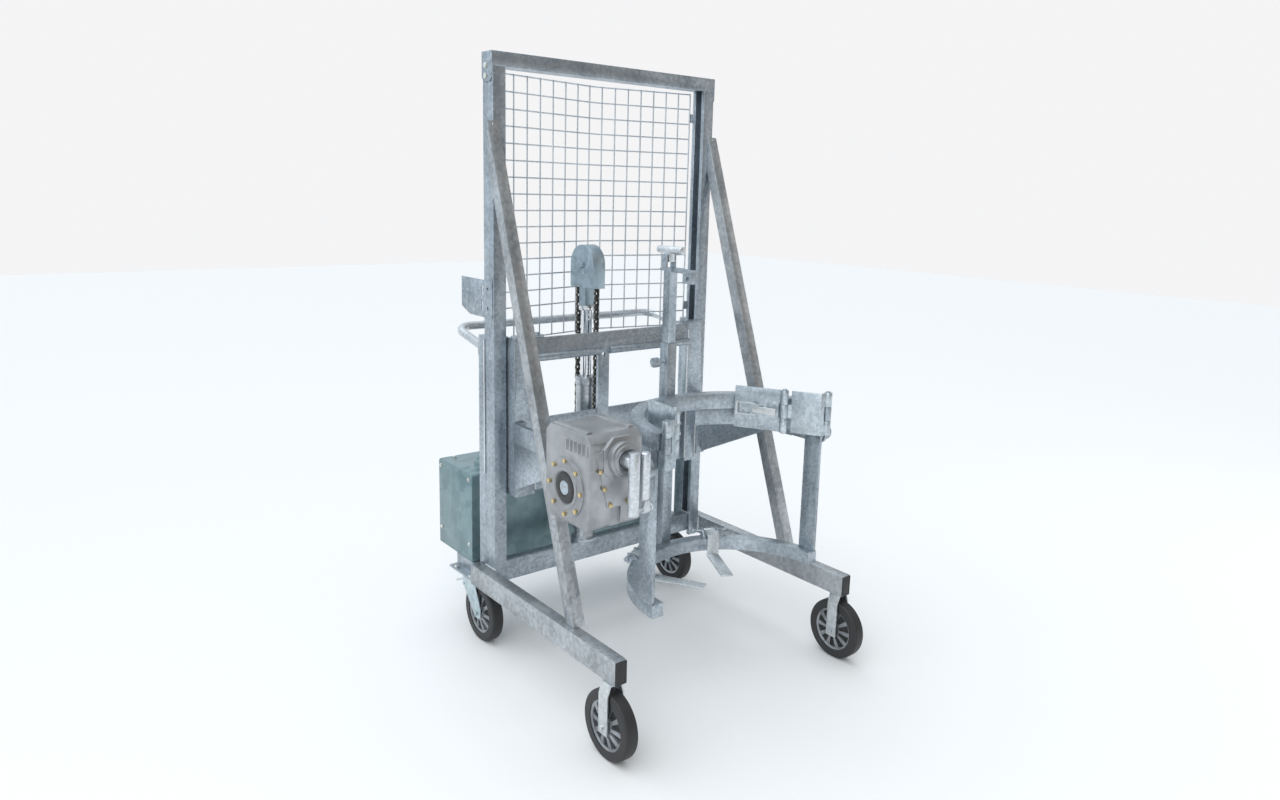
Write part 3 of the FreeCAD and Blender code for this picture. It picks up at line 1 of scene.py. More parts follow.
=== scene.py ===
import bpy
import bmesh
import json
import math
from mathutils import Matrix, Vector
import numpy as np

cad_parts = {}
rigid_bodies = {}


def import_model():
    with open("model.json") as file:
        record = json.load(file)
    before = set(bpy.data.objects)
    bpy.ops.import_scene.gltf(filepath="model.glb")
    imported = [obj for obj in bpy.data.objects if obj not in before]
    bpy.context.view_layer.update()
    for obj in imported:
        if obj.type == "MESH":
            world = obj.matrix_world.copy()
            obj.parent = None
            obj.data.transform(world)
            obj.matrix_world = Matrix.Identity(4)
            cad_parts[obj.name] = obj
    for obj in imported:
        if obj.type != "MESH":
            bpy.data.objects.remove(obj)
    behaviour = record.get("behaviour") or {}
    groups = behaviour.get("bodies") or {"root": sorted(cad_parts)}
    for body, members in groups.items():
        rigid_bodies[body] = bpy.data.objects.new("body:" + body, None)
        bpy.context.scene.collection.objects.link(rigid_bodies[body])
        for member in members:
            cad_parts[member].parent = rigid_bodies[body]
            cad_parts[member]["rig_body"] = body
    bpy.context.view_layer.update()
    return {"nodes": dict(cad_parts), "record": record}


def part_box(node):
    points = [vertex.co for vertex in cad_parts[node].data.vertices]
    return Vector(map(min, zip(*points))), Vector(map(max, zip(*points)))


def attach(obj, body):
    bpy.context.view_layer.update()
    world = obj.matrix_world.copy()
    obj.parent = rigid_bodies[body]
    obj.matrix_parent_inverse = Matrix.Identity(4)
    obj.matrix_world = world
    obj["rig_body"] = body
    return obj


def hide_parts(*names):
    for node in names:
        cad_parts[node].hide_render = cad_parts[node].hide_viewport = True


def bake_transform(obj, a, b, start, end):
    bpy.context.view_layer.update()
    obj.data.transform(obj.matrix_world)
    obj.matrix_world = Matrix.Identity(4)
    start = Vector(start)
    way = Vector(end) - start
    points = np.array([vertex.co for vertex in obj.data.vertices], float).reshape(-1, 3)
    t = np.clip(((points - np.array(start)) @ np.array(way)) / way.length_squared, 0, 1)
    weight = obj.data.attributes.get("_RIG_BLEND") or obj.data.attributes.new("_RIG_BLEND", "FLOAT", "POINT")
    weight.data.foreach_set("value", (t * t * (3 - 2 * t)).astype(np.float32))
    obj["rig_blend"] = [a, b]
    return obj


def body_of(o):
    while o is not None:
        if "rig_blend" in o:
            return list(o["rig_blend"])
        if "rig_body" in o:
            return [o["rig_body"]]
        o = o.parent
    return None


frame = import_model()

bpy.ops.object.select_all(action="DESELECT")

# Mast uprights, top bar, legs, braces and base beam.
# Rolled channels and square tubes, welded and then dipped in molten zinc, which dries
# to patches of light and dark crystals that run a little down the upright faces.


def spangle_group():
    """Zinc crystals: patches of value, finer grain and drips along the length."""
    group = bpy.data.node_groups.new("zinc_crystals", "ShaderNodeTree")
    for name, kind, way in (("Dark", "NodeSocketColor", "INPUT"),
                            ("Light", "NodeSocketColor", "INPUT"),
                            ("Patch", "NodeSocketFloat", "INPUT"),
                            ("Color", "NodeSocketColor", "OUTPUT"),
                            ("Roughness", "NodeSocketFloat", "OUTPUT"),
                            ("Height", "NodeSocketFloat", "OUTPUT")):
        group.interface.new_socket(name=name, in_out=way, socket_type=kind)
    n, link = group.nodes, group.links.new
    given, out = n.new("NodeGroupInput"), n.new("NodeGroupOutput")
    place = n.new("ShaderNodeTexCoord")
    cells = n.new("ShaderNodeTexVoronoi")
    cells.inputs["Randomness"].default_value = 1.0
    link(place.outputs["Object"], cells.inputs["Vector"])
    link(given.outputs["Patch"], cells.inputs["Scale"])
    apart = n.new("ShaderNodeSeparateColor")
    link(cells.outputs["Color"], apart.inputs["Color"])
    cloud = n.new("ShaderNodeTexNoise")
    cloud.inputs["Scale"].default_value = 7.0
    cloud.inputs["Detail"].default_value = 6.0
    link(place.outputs["Object"], cloud.inputs["Vector"])
    stretch = n.new("ShaderNodeMapping")
    stretch.inputs["Scale"].default_value = (60.0, 60.0, 5.0)
    link(place.outputs["Object"], stretch.inputs["Vector"])
    drips = n.new("ShaderNodeTexNoise")
    drips.inputs["Scale"].default_value = 1.0
    drips.inputs["Detail"].default_value = 4.0
    link(stretch.outputs["Vector"], drips.inputs["Vector"])
    both = n.new("ShaderNodeMath")
    both.operation = "MULTIPLY_ADD"
    both.inputs[1].default_value = 0.32
    link(apart.outputs["Red"], both.inputs[0])
    link(cloud.outputs["Fac"], both.inputs[2])
    more = n.new("ShaderNodeMath")
    more.operation = "MULTIPLY_ADD"
    more.inputs[1].default_value = 0.3
    link(drips.outputs["Fac"], more.inputs[0])
    link(both.outputs[0], more.inputs[2])
    spread = n.new("ShaderNodeMapRange")
    spread.inputs["From Min"].default_value = 0.5
    spread.inputs["From Max"].default_value = 1.15
    link(more.outputs[0], spread.inputs["Value"])
    tint = n.new("ShaderNodeMix")
    tint.data_type = "RGBA"
    link(spread.outputs[0], tint.inputs["Factor"])
    link(given.outputs["Dark"], tint.inputs["A"])
    link(given.outputs["Light"], tint.inputs["B"])
    link(tint.outputs["Result"], out.inputs["Color"])
    gloss = n.new("ShaderNodeMapRange")
    gloss.inputs["From Max"].default_value = 1.2
    gloss.inputs["To Min"].default_value = 0.5
    gloss.inputs["To Max"].default_value = 0.3
    link(more.outputs[0], gloss.inputs["Value"])
    link(gloss.outputs[0], out.inputs["Roughness"])
    link(more.outputs[0], out.inputs["Height"])
    return group


zinc_crystals = spangle_group()


def zinc(name, dark, light, patch, metal=0.85, bump=0.12):
    """Galvanised finish between two shades, with crystals of the given count a metre."""
    made = bpy.data.materials.new(name)
    made.use_nodes = True
    n, link = made.node_tree.nodes, made.node_tree.links.new
    shader = n["Principled BSDF"]
    shader.inputs["Metallic"].default_value = metal
    coat = n.new("ShaderNodeGroup")
    coat.node_tree = zinc_crystals
    coat.inputs["Dark"].default_value = (*dark, 1)
    coat.inputs["Light"].default_value = (*light, 1)
    coat.inputs["Patch"].default_value = patch
    link(coat.outputs["Color"], shader.inputs["Base Color"])
    link(coat.outputs["Roughness"], shader.inputs["Roughness"])
    rise = n.new("ShaderNodeBump")
    rise.inputs["Strength"].default_value = bump
    rise.inputs["Distance"].default_value = 0.002
    link(coat.outputs["Height"], rise.inputs["Height"])
    link(rise.outputs["Normal"], shader.inputs["Normal"])
    return made


def settle(piece, body, part_slot, *nodes):
    """Gives a finished piece its body and hides the solids that it stands for; the slot that it is given is
    not used.
    """
    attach(piece, body)
    if nodes:
        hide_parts(*nodes)


def alone(piece):
    """Leaves one object active and selected."""
    bpy.ops.object.select_all(action="DESELECT")
    bpy.context.view_layer.objects.active = piece
    piece.select_set(True)


def round_edges(piece, width, sharp=35, segments=2):
    """Breaks the sharp edges of a piece and shades the rest smooth."""
    alone(piece)
    bevel = piece.modifiers.new("edge", "BEVEL")
    bevel.width = width
    bevel.segments = segments
    bevel.limit_method = "ANGLE"
    bevel.angle_limit = math.radians(sharp)
    bpy.ops.object.modifier_apply(modifier="edge")
    bpy.ops.object.shade_smooth_by_angle(angle=math.radians(35))


slot_of = {row["node"]: row["material_slot"] for row in frame["record"]["subparts"]}


def eased(finish, width, *names):
    """Copies solids of the frame, merges their triangles and rounds their edges."""
    made = []
    for name in names:
        node = frame["nodes"][name]
        piece = bpy.data.objects.new(name + "_eased", node.data.copy())
        bpy.context.scene.collection.objects.link(piece)
        alone(piece)
        bpy.ops.object.mode_set(mode="EDIT")
        bpy.ops.mesh.select_all(action="SELECT")
        bpy.ops.mesh.remove_doubles(threshold=0.00001)
        bpy.ops.mesh.dissolve_limited(angle_limit=math.radians(0.4))
        bpy.ops.object.mode_set(mode="OBJECT")
        round_edges(piece, width)
        piece.data.materials.clear()
        piece.data.materials.append(finish)
        settle(piece, body_of(node)[0], slot_of[name], name)
        made.append(piece)
    return made


mast_zinc = zinc("mast_zinc", (0.24, 0.28, 0.32), (0.52, 0.58, 0.63), 110)
eased(mast_zinc, 0.0015, "mast_left", "mast_right", "top_crossbar", "base_beam",
      "caster_bracket_left", "caster_bracket_right", "control_bracket")
leg_zinc = zinc("leg_zinc", (0.28, 0.30, 0.32), (0.56, 0.59, 0.61), 90)
eased(leg_zinc, 0.003, "leg_left", "leg_right", "brace_left", "brace_right")

# Weld beads: ripples of bright metal along the joints, one bead after another, drawn by
# hand and zinc-coated with the frame. They follow the mast's feet, lips and braces.


def joined(name, parts, finish):
    """Joins objects into one named piece with its place in its mesh."""
    bpy.ops.object.select_all(action="DESELECT")
    for part in parts:
        part.select_set(True)
    bpy.context.view_layer.objects.active = parts[0]
    bpy.ops.object.join()
    bpy.ops.object.transform_apply(location=True, rotation=True, scale=True)
    piece = bpy.context.object
    piece.name = name
    piece.data.name = name
    piece.data.materials.clear()
    piece.data.materials.append(finish)
    return piece


def bead(start, stop, radius=0.0038, pitch=0.0052):
    """One straight run of weld ripples."""
    start, stop = Vector(start), Vector(stop)
    bpy.ops.mesh.primitive_cone_add(vertices=8, radius1=radius, radius2=radius * 0.6,
                                    depth=pitch * 1.7)
    run = bpy.context.object
    row = run.modifiers.new("row", "ARRAY")
    row.count = max(2, round((stop - start).length / pitch))
    row.use_relative_offset = False
    row.use_constant_offset = True
    row.constant_offset_displace = (0, 0, pitch)
    bpy.ops.object.modifier_apply(modifier="row")
    bpy.ops.object.shade_smooth_by_angle(angle=math.radians(50))
    run.matrix_world = (Matrix.Translation(start)
                        @ (stop - start).to_track_quat("Z", "Y").to_matrix().to_4x4())
    return run


weld_zinc = zinc("weld_zinc", (0.62, 0.64, 0.66), (0.9, 0.92, 0.93), 260, 0.95, 0.05)
mast_outer, mast_inner = 0.45, 0.405
leg_top = 0.297
thin_bead = 0.003
runs = []
for side in (-1, 1):
    foot_edge = (mast_outer + 0.002) * side
    lip = (mast_outer + 0.0015) * side
    runs.append(bead((foot_edge, 0.002, leg_top + 0.002), (foot_edge, 0.06, leg_top + 0.002)))
    runs.append(bead((mast_outer * side, -0.0015, 0.232), (mast_outer * side, -0.0015, leg_top),
                     thin_bead))
    runs.append(bead((0.432 * side, -0.486, leg_top + 0.0015),
                     (0.468 * side, -0.486, leg_top + 0.0015), thin_bead))
    runs.append(bead((lip, -0.002, 1.62), (lip, -0.002, 1.73), thin_bead))
    runs.append(bead((lip, 0.0605, 0.62), (lip, 0.0605, 1.06), 0.0028))
    runs.append(bead((mast_inner * side, 0.008, 0.314), (mast_inner * side, 0.05, 0.314),
                     thin_bead))
welds_mast = joined("welds_mast", runs, weld_zinc)
settle(welds_mast, "mast", "galvanised")

# Leg ends: each leg's open front end is closed by a pressed-in black plastic plug with a
# thin flange and a sunk middle.


def pick(kind, wanted):
    """Selects the faces or edges of the mesh in edit mode that a test wants."""
    bpy.ops.mesh.select_mode(type="FACE" if kind == "faces" else "EDGE")
    bpy.ops.mesh.select_all(action="DESELECT")
    mesh = bmesh.from_edit_mesh(bpy.context.object.data)
    for item in (mesh.faces if kind == "faces" else mesh.edges):
        if wanted(item):
            item.select_set(True)
    mesh.select_flush_mode()
    bmesh.update_edit_mesh(bpy.context.object.data)


def plastic(name, colour, rough, grain=900, depth=0.03):
    """Moulded or rubber surface with a fine grain and a little dust in its roughness."""
    made = bpy.data.materials.new(name)
    made.use_nodes = True
    n, link = made.node_tree.nodes, made.node_tree.links.new
    shader = n["Principled BSDF"]
    where = n.new("ShaderNodeTexCoord")
    fine = n.new("ShaderNodeTexNoise")
    fine.inputs["Scale"].default_value = grain
    dust = n.new("ShaderNodeTexNoise")
    dust.inputs["Scale"].default_value = 14
    dust.inputs["Detail"].default_value = 5
    link(where.outputs["Object"], fine.inputs["Vector"])
    link(where.outputs["Object"], dust.inputs["Vector"])
    shade = n.new("ShaderNodeMix")
    shade.data_type = "RGBA"
    shade.inputs["A"].default_value = (*colour, 1)
    shade.inputs["B"].default_value = (*[c * 1.8 + 0.012 for c in colour], 1)
    link(dust.outputs["Fac"], shade.inputs["Factor"])
    link(shade.outputs["Result"], shader.inputs["Base Color"])
    gloss = n.new("ShaderNodeMapRange")
    gloss.inputs["To Min"].default_value = rough - 0.1
    gloss.inputs["To Max"].default_value = rough + 0.12
    link(dust.outputs["Fac"], gloss.inputs["Value"])
    link(gloss.outputs["Result"], shader.inputs["Roughness"])
    rise = n.new("ShaderNodeBump")
    rise.inputs["Strength"].default_value = depth * 8
    rise.inputs["Distance"].default_value = 0.0004
    link(fine.outputs["Fac"], rise.inputs["Height"])
    link(rise.outputs["Normal"], shader.inputs["Normal"])
    return made


plug_black = plastic("plug_black", (0.012, 0.012, 0.013), 0.5)
leg_middle, plug_face, leg_level = 0.47, -0.7125, 0.262
plugs = []
for side in (-1, 1):
    bpy.ops.mesh.primitive_cube_add(size=1, location=(leg_middle * side, plug_face, leg_level),
                                    scale=(0.037, 0.005, 0.066))
    plug = bpy.context.object
    bpy.ops.object.transform_apply(location=True, rotation=True, scale=True)
    bpy.ops.object.mode_set(mode="EDIT")
    pick("faces", lambda f: f.normal.y < -0.9)
    bpy.ops.mesh.inset(thickness=0.005)
    bpy.ops.transform.translate(value=(0, 0.002, 0))
    bpy.ops.mesh.inset(thickness=0.003)
    bpy.ops.transform.translate(value=(0, -0.001, 0))
    bpy.ops.object.mode_set(mode="OBJECT")
    round_edges(plug, 0.0008)
    plugs.append(plug)
leg_plugs = joined("leg_plugs", plugs, plug_black)
settle(leg_plugs, "mast", "tyre")

# Push handle: one steel tube bent round in two sweeps behind the mast, its flattened ends
# bolted to the uprights, satin from the zinc bath.
handle_zinc = zinc("handle_zinc", (0.40, 0.43, 0.46), (0.72, 0.75, 0.78), 90, 0.9, 0.05)
eased(handle_zinc, 0.0008, "push_handle")

# Guard: two mats of welded wire that meet in a soft fold behind the chain wheel. The level
# wires lie on the upright ones and each crossing is spot-welded; flat tabs hold the edges.
wire_zinc = zinc("wire_zinc", (0.42, 0.46, 0.50), (0.76, 0.80, 0.83), 300, 0.92, 0.04)
guard_low, guard_high = 1.046, 1.886
fold_x, fold_y, edge_y, half_guard = 0.025, 0.137, 0.0615, 0.392
wire_radius = 0.0024
wires = []
for side in (-1, 1):
    fold = Vector((fold_x, fold_y, 0))
    edge = Vector((half_guard * side, edge_y, 0))
    for i in range(8):
        foot = fold.lerp(edge, (i + 0.5) / 7.5 if i < 7 else 0.995)
        bpy.ops.mesh.primitive_cylinder_add(
            vertices=8, radius=wire_radius, depth=guard_high - guard_low,
            location=(foot.x, foot.y - 0.002, (guard_high + guard_low) / 2))
        wires.append(bpy.context.object)
for i in range(17):
    level = guard_low + 0.0025 + i * (guard_high - guard_low - 0.005) / 16
    bpy.ops.mesh.primitive_cylinder_add(vertices=8, radius=wire_radius,
                                        depth=half_guard * 2, location=(0, edge_y, level),
                                        rotation=(0, math.pi / 2, 0))
    wire = bpy.context.object
    bpy.ops.object.transform_apply(location=True, rotation=True, scale=True)
    bpy.ops.object.mode_set(mode="EDIT")
    for cut in (-0.015, 0.005, fold_x, 0.045, 0.065):
        bpy.ops.mesh.select_all(action="SELECT")
        bpy.ops.mesh.bisect(plane_co=(cut, 0, 0), plane_no=(1, 0, 0))
    bpy.ops.object.mode_set(mode="OBJECT")
    for vertex in wire.data.vertices:
        longer = fold_x if vertex.co.x < 0 else -fold_x
        reach = abs(vertex.co.x - fold_x) / (half_guard + longer)
        vertex.co.y += (fold_y - edge_y) * max(0.0, 1 - max(reach, 0.03)) + 0.002
    wires.append(wire)
for side in (-1, 1):
    for low in (1.106, 1.786):
        bpy.ops.mesh.primitive_cube_add(size=1, location=(0.407 * side, 0.0622, low + 0.015),
                                        scale=(0.036, 0.0035, 0.03))
        tab = bpy.context.object
        round_edges(tab, 0.0008)
        wires.append(tab)
guard_mesh = joined("guard_mesh", wires, wire_zinc)
alone(guard_mesh)
bpy.ops.object.shade_smooth_by_angle(angle=math.radians(50))
settle(guard_mesh, "mast", "galvanised", "mesh_guard")

# Hydraulic box: a folded sheet cover with a blue-green passivated finish, held by screws at its edges, with
# a black inspection patch and a brass coupling on top.
cover_teal = zinc("cover_teal", (0.16, 0.24, 0.26), (0.27, 0.37, 0.39), 30, 0.75, 0.05)
eased(cover_teal, 0.002, "power_pack")
screw_zinc = zinc("screw_zinc", (0.6, 0.6, 0.58), (0.85, 0.84, 0.80), 300, 0.95, 0.02)


def hex_screw(at, along, across=0.0065, height=0.0045):
    """A washer with a chamfered hexagon head on it, pointing along a direction."""
    bpy.ops.mesh.primitive_cylinder_add(vertices=6, radius=across, depth=height,
                                        location=(0, 0, height / 2 + 0.0012))
    head = bpy.context.object
    round_edges(head, height * 0.18, 40, 1)
    bpy.ops.mesh.primitive_cylinder_add(vertices=20, radius=across * 1.45, depth=0.0014,
                                        location=(0, 0, 0.0005))
    washer = bpy.context.object
    bpy.ops.object.select_all(action="DESELECT")
    head.select_set(True)
    washer.select_set(True)
    bpy.context.view_layer.objects.active = head
    bpy.ops.object.join()
    bpy.ops.object.transform_apply(location=True, rotation=True, scale=True)
    head.matrix_world = (Matrix.Translation(Vector(at))
                         @ Vector(along).to_track_quat("Z", "Y").to_matrix().to_4x4())
    return head


box_top = 0.583
heads = []
for deep in (0.175, 0.382):
    for level in (0.33, 0.56):
        heads.append(hex_screw((-0.4502, deep, level), (-1, 0, 0), 0.005, 0.0035))
for across in (-0.40, -0.22, 0.18, 0.36):
    heads.append(hex_screw((across, 0.375, box_top), (0, 0, 1), 0.005, 0.0035))
box_screws = joined("box_screws", heads, screw_zinc)
settle(box_screws, "mast", "bright_zinc")
bpy.ops.mesh.primitive_cube_add(size=1, location=(-0.26, 0.29, box_top + 0.0008),
                                scale=(0.11, 0.07, 0.003))
patch = bpy.context.object
round_edges(patch, 0.001)
patch = joined("box_patch", [patch], plug_black)
settle(patch, "mast", "tyre")


def metal(name, colour, rough, scratch=0.08, scale=40):
    """Bare or plated metal, its roughness broken up by fine marks."""
    made = bpy.data.materials.new(name)
    made.use_nodes = True
    n, link = made.node_tree.nodes, made.node_tree.links.new
    shader = n["Principled BSDF"]
    shader.inputs["Metallic"].default_value = 1.0
    where = n.new("ShaderNodeTexCoord")
    marks = n.new("ShaderNodeTexNoise")
    marks.inputs["Scale"].default_value = scale
    marks.inputs["Detail"].default_value = 8
    link(where.outputs["Object"], marks.inputs["Vector"])
    gloss = n.new("ShaderNodeMapRange")
    gloss.inputs["To Min"].default_value = max(0.03, rough - scratch)
    gloss.inputs["To Max"].default_value = rough + scratch
    link(marks.outputs["Fac"], gloss.inputs["Value"])
    link(gloss.outputs["Result"], shader.inputs["Roughness"])
    shade = n.new("ShaderNodeMix")
    shade.data_type = "RGBA"
    shade.inputs["A"].default_value = (*[c * 0.82 for c in colour], 1)
    shade.inputs["B"].default_value = (*colour, 1)
    link(marks.outputs["Fac"], shade.inputs["Factor"])
    link(shade.outputs["Result"], shader.inputs["Base Color"])
    return made


brass = metal("coupling_brass", (0.70, 0.56, 0.30), 0.25)
bpy.ops.mesh.primitive_cylinder_add(vertices=6, radius=0.016, depth=0.014,
                                    location=(-0.32, 0.2, box_top + 0.007))
nut = bpy.context.object
round_edges(nut, 0.0015, 40)
bpy.ops.mesh.primitive_torus_add(major_radius=0.02, minor_radius=0.006, major_segments=32,
                                 minor_segments=12, location=(-0.32, 0.2, box_top + 0.022),
                                 rotation=(math.pi / 2, 0, 0.4))
elbow = bpy.context.object
coupling = joined("box_coupling", [nut, elbow], brass)
alone(coupling)
bpy.ops.object.shade_smooth_by_angle(angle=math.radians(35))
settle(coupling, "mast", "brass_screw")

# Bolts of the handle, feet and wheel forks: zinc-plated hexagon heads, kept as the frame
# has them with their edges broken.
eased(screw_zinc, 0.0006, "frame_bolts")

# Lift cylinder: a thick steel barrel with a gland ring, and a hard-chromed rod that is
# polished like a mirror.
barrel_zinc = zinc("barrel_zinc", (0.34, 0.37, 0.40), (0.66, 0.69, 0.72), 120, 0.92, 0.04)
eased(barrel_zinc, 0.0015, "cylinder_barrel")
chrome = metal("rod_chrome", (0.88, 0.89, 0.91), 0.07, 0.03, 90)
eased(chrome, 0.0006, "cylinder_rod")

# Chain wheel's housing: two cheek plates and a folded band round them, with the axle's
# bright hexagon head on the cheek.
cheek_zinc = zinc("cheek_zinc", (0.26, 0.34, 0.39), (0.46, 0.55, 0.61), 60, 0.85, 0.05)
eased(cheek_zinc, 0.001, "sheave_housing")
eased(plastic("wheel_oil", (0.02, 0.02, 0.02), 0.35), 0.0008, "sheave_wheel")

# Lift chains: roller chain with oiled black plates, and pins whose riveted ends shine. One
# pair of links is made, repeated up the strand and drawn out by the lift.
chain_black = plastic("chain_black", (0.016, 0.015, 0.014), 0.32, 500)
pin_steel = metal("pin_steel", (0.62, 0.58, 0.50), 0.3)
pitch = 0.0158


def link_plate(offset, low, thick):
    """A waisted side plate of one link, standing up, at an offset across the chain."""
    bpy.ops.mesh.primitive_cube_add(size=1, location=(offset, 0, low + pitch / 2),
                                    scale=(thick, 0.0115, pitch + 0.0095))
    plate = bpy.context.object
    bpy.ops.object.transform_apply(location=True, rotation=True, scale=True)
    bpy.ops.object.mode_set(mode="EDIT")
    pick("edges", lambda e: abs(e.verts[0].co.x - e.verts[1].co.x) > thick / 2)
    bpy.ops.mesh.bevel(offset=0.0045, segments=3, affect="EDGES")
    bpy.ops.object.mode_set(mode="OBJECT")
    return plate


def chain_strand(name, node, finish):
    """Fills a strand's solid with pairs of links, plates and pins in one mesh."""
    low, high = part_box(node)
    parts = [link_plate(x, 0, 0.0018) for x in (-0.0038, 0.0038)]
    parts += [link_plate(x, pitch, 0.0018) for x in (-0.0062, 0.0062)]
    for at in (0, pitch):
        bpy.ops.mesh.primitive_cylinder_add(vertices=10, radius=0.0048, depth=0.0056,
                                            location=(0, 0, at), rotation=(0, math.pi / 2, 0))
        parts.append(bpy.context.object)
    body_mesh = joined(name, parts, finish)
    ends = []
    for at in (0, pitch):
        bpy.ops.mesh.primitive_cylinder_add(vertices=8, radius=0.0027, depth=0.0178,
                                            location=(0, 0, at), rotation=(0, math.pi / 2, 0))
        ends.append(bpy.context.object)
    pins = joined(name + "_pins", ends, pin_steel)
    for piece in (body_mesh, pins):
        alone(piece)
        row = piece.modifiers.new("row", "ARRAY")
        row.count = int((high.z - low.z - 0.014) / (2 * pitch))
        row.use_relative_offset = False
        row.use_constant_offset = True
        row.constant_offset_displace = (0, 0, 2 * pitch)
        bpy.ops.object.modifier_apply(modifier="row")
        piece.location = ((low.x + high.x) / 2, (low.y + high.y) / 2, low.z + 0.011)
        bpy.ops.object.transform_apply(location=True, rotation=True, scale=True)
        bpy.ops.object.shade_smooth_by_angle(angle=math.radians(40))
    return body_mesh, pins


for strand, lower in (("chain_front", "carriage"), ("chain_rear", "mast")):
    low, high = [Vector(corner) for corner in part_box(strand)]
    plates, pins = chain_strand(strand + "_links", strand, chain_black)
    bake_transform(plates, lower, "lift_rod", (0, 0, low.z), (0, 0, high.z))
    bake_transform(pins, lower, "lift_rod", (0, 0, low.z), (0, 0, high.z))
    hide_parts(strand)

# Carriage: posts, cross beam and skirt of plate, with arms that carry the cradle. All are
# welded from flame-cut plate and dipped.
cradle_zinc = zinc("cradle_zinc", (0.26, 0.30, 0.34), (0.56, 0.62, 0.67), 130)
eased(cradle_zinc, 0.0015, "carriage_post_left", "carriage_post_right", "carriage_top_beam",
      "carriage_plate", "arm_left", "arm_right")
eased(plastic("roller_nylon", (0.62, 0.62, 0.58), 0.4), 0.001, "guide_roller_ul",
      "guide_roller_ll", "guide_roller_ur", "guide_roller_lr")
runs = []
post_front, post_foot, skirt_top = -0.047, 0.57, 0.80
for across in (-0.3965, 0.4085):
    runs.append(bead((across, -0.048, 0.585), (across, -0.048, skirt_top), 0.0045))
for across in (0.3255, -0.3255):
    runs.append(bead((across, post_front, post_foot), (across, post_front, 1.05), 0.004))
runs.append(bead((0.3765, -0.0455, post_foot), (0.3765, -0.0455, skirt_top), 0.0045))
welds_carriage = joined("welds_carriage", runs, weld_zinc)
settle(welds_carriage, "carriage", "galvanised")
heads = []
for level in (0.66, 0.70, 0.74):
    heads.append(hex_screw((0.3, -0.0452, level), (0, -1, 0), 0.0045, 0.003))
carriage_screws = joined("carriage_screws", heads, screw_zinc)
settle(carriage_screws, "carriage", "bright_zinc")

# Worm gearbox: a sand-cast case in silver paint with soft edges, a black seal round the
# cradle's shaft and a bright machined shaft end.


def cast(name, dark, light, rough, metallic):
    """Painted casting: sand grain in the bump and patches of grime from a noise."""
    made = bpy.data.materials.new(name)
    made.use_nodes = True
    n, link = made.node_tree.nodes, made.node_tree.links.new
    shader = n["Principled BSDF"]
    shader.inputs["Metallic"].default_value = metallic
    where = n.new("ShaderNodeTexCoord")
    grime = n.new("ShaderNodeTexNoise")
    grime.inputs["Scale"].default_value = 18
    grime.inputs["Detail"].default_value = 8
    sand = n.new("ShaderNodeTexNoise")
    sand.inputs["Scale"].default_value = 420
    sand.inputs["Detail"].default_value = 3
    link(where.outputs["Object"], grime.inputs["Vector"])
    link(where.outputs["Object"], sand.inputs["Vector"])
    shade = n.new("ShaderNodeMix")
    shade.data_type = "RGBA"
    shade.inputs["A"].default_value = (*dark, 1)
    shade.inputs["B"].default_value = (*light, 1)
    spread = n.new("ShaderNodeMapRange")
    spread.inputs["From Min"].default_value = 0.35
    spread.inputs["From Max"].default_value = 0.65
    link(grime.outputs["Fac"], spread.inputs["Value"])
    link(spread.outputs["Result"], shade.inputs["Factor"])
    link(shade.outputs["Result"], shader.inputs["Base Color"])
    gloss = n.new("ShaderNodeMapRange")
    gloss.inputs["To Min"].default_value = rough + 0.1
    gloss.inputs["To Max"].default_value = rough - 0.1
    link(grime.outputs["Fac"], gloss.inputs["Value"])
    link(gloss.outputs["Result"], shader.inputs["Roughness"])
    rise = n.new("ShaderNodeBump")
    rise.inputs["Strength"].default_value = 0.25
    rise.inputs["Distance"].default_value = 0.0008
    link(sand.outputs["Fac"], rise.inputs["Height"])
    link(rise.outputs["Normal"], shader.inputs["Normal"])
    return made


case_silver = cast("case_silver", (0.30, 0.31, 0.325), (0.42, 0.435, 0.45), 0.36, 0.8)
eased(case_silver, 0.0022, "gearbox_housing")
eased(brass, 0.0006, "gearbox_bolts")
bpy.ops.mesh.primitive_torus_add(major_radius=0.0305, minor_radius=0.0122, major_segments=48,
                                 minor_segments=10, location=(-0.5845, -0.605, 0.775),
                                 rotation=(0, math.pi / 2, 0))
seal_black = plastic("seal_black", (0.01, 0.01, 0.011), 0.35)
seal = joined("shaft_seal", [bpy.context.object], seal_black)
bpy.ops.object.mode_set(mode="EDIT")
bpy.ops.mesh.select_all(action="SELECT")
bpy.ops.transform.resize(value=(0.2, 1, 1), center_override=(-0.5845, -0.605, 0.775))
bpy.ops.object.mode_set(mode="OBJECT")
bpy.ops.object.shade_smooth()
settle(seal, "carriage", "tyre")

# Crank: a stepped stub, an arm of tube and a second tube folded up beside it as the grip,
# bright from the plating tank.
crank_zinc = zinc("crank_zinc", (0.46, 0.50, 0.54), (0.80, 0.83, 0.86), 160, 0.95, 0.03)
eased(crank_zinc, 0.0012, "crank_arm", "crank_grip")

# Drum cradle: two rolled half rings of square tube joined by flat bars, with the sleeve of
# the rim hook welded to their backs.
eased(cradle_zinc, 0.0015, "ring_upper", "ring_lower", "bar_left", "bar_right",
      "spine_sleeve")
strip_zinc = zinc("strip_zinc", (0.50, 0.54, 0.57), (0.86, 0.89, 0.90), 210, 0.95, 0.08)
eased(strip_zinc, 0.0006, "finger_left", "finger_right")
eased(cradle_zinc, 0.001, "holddown_post")
eased(strip_zinc, 0.001, "holddown_lever")

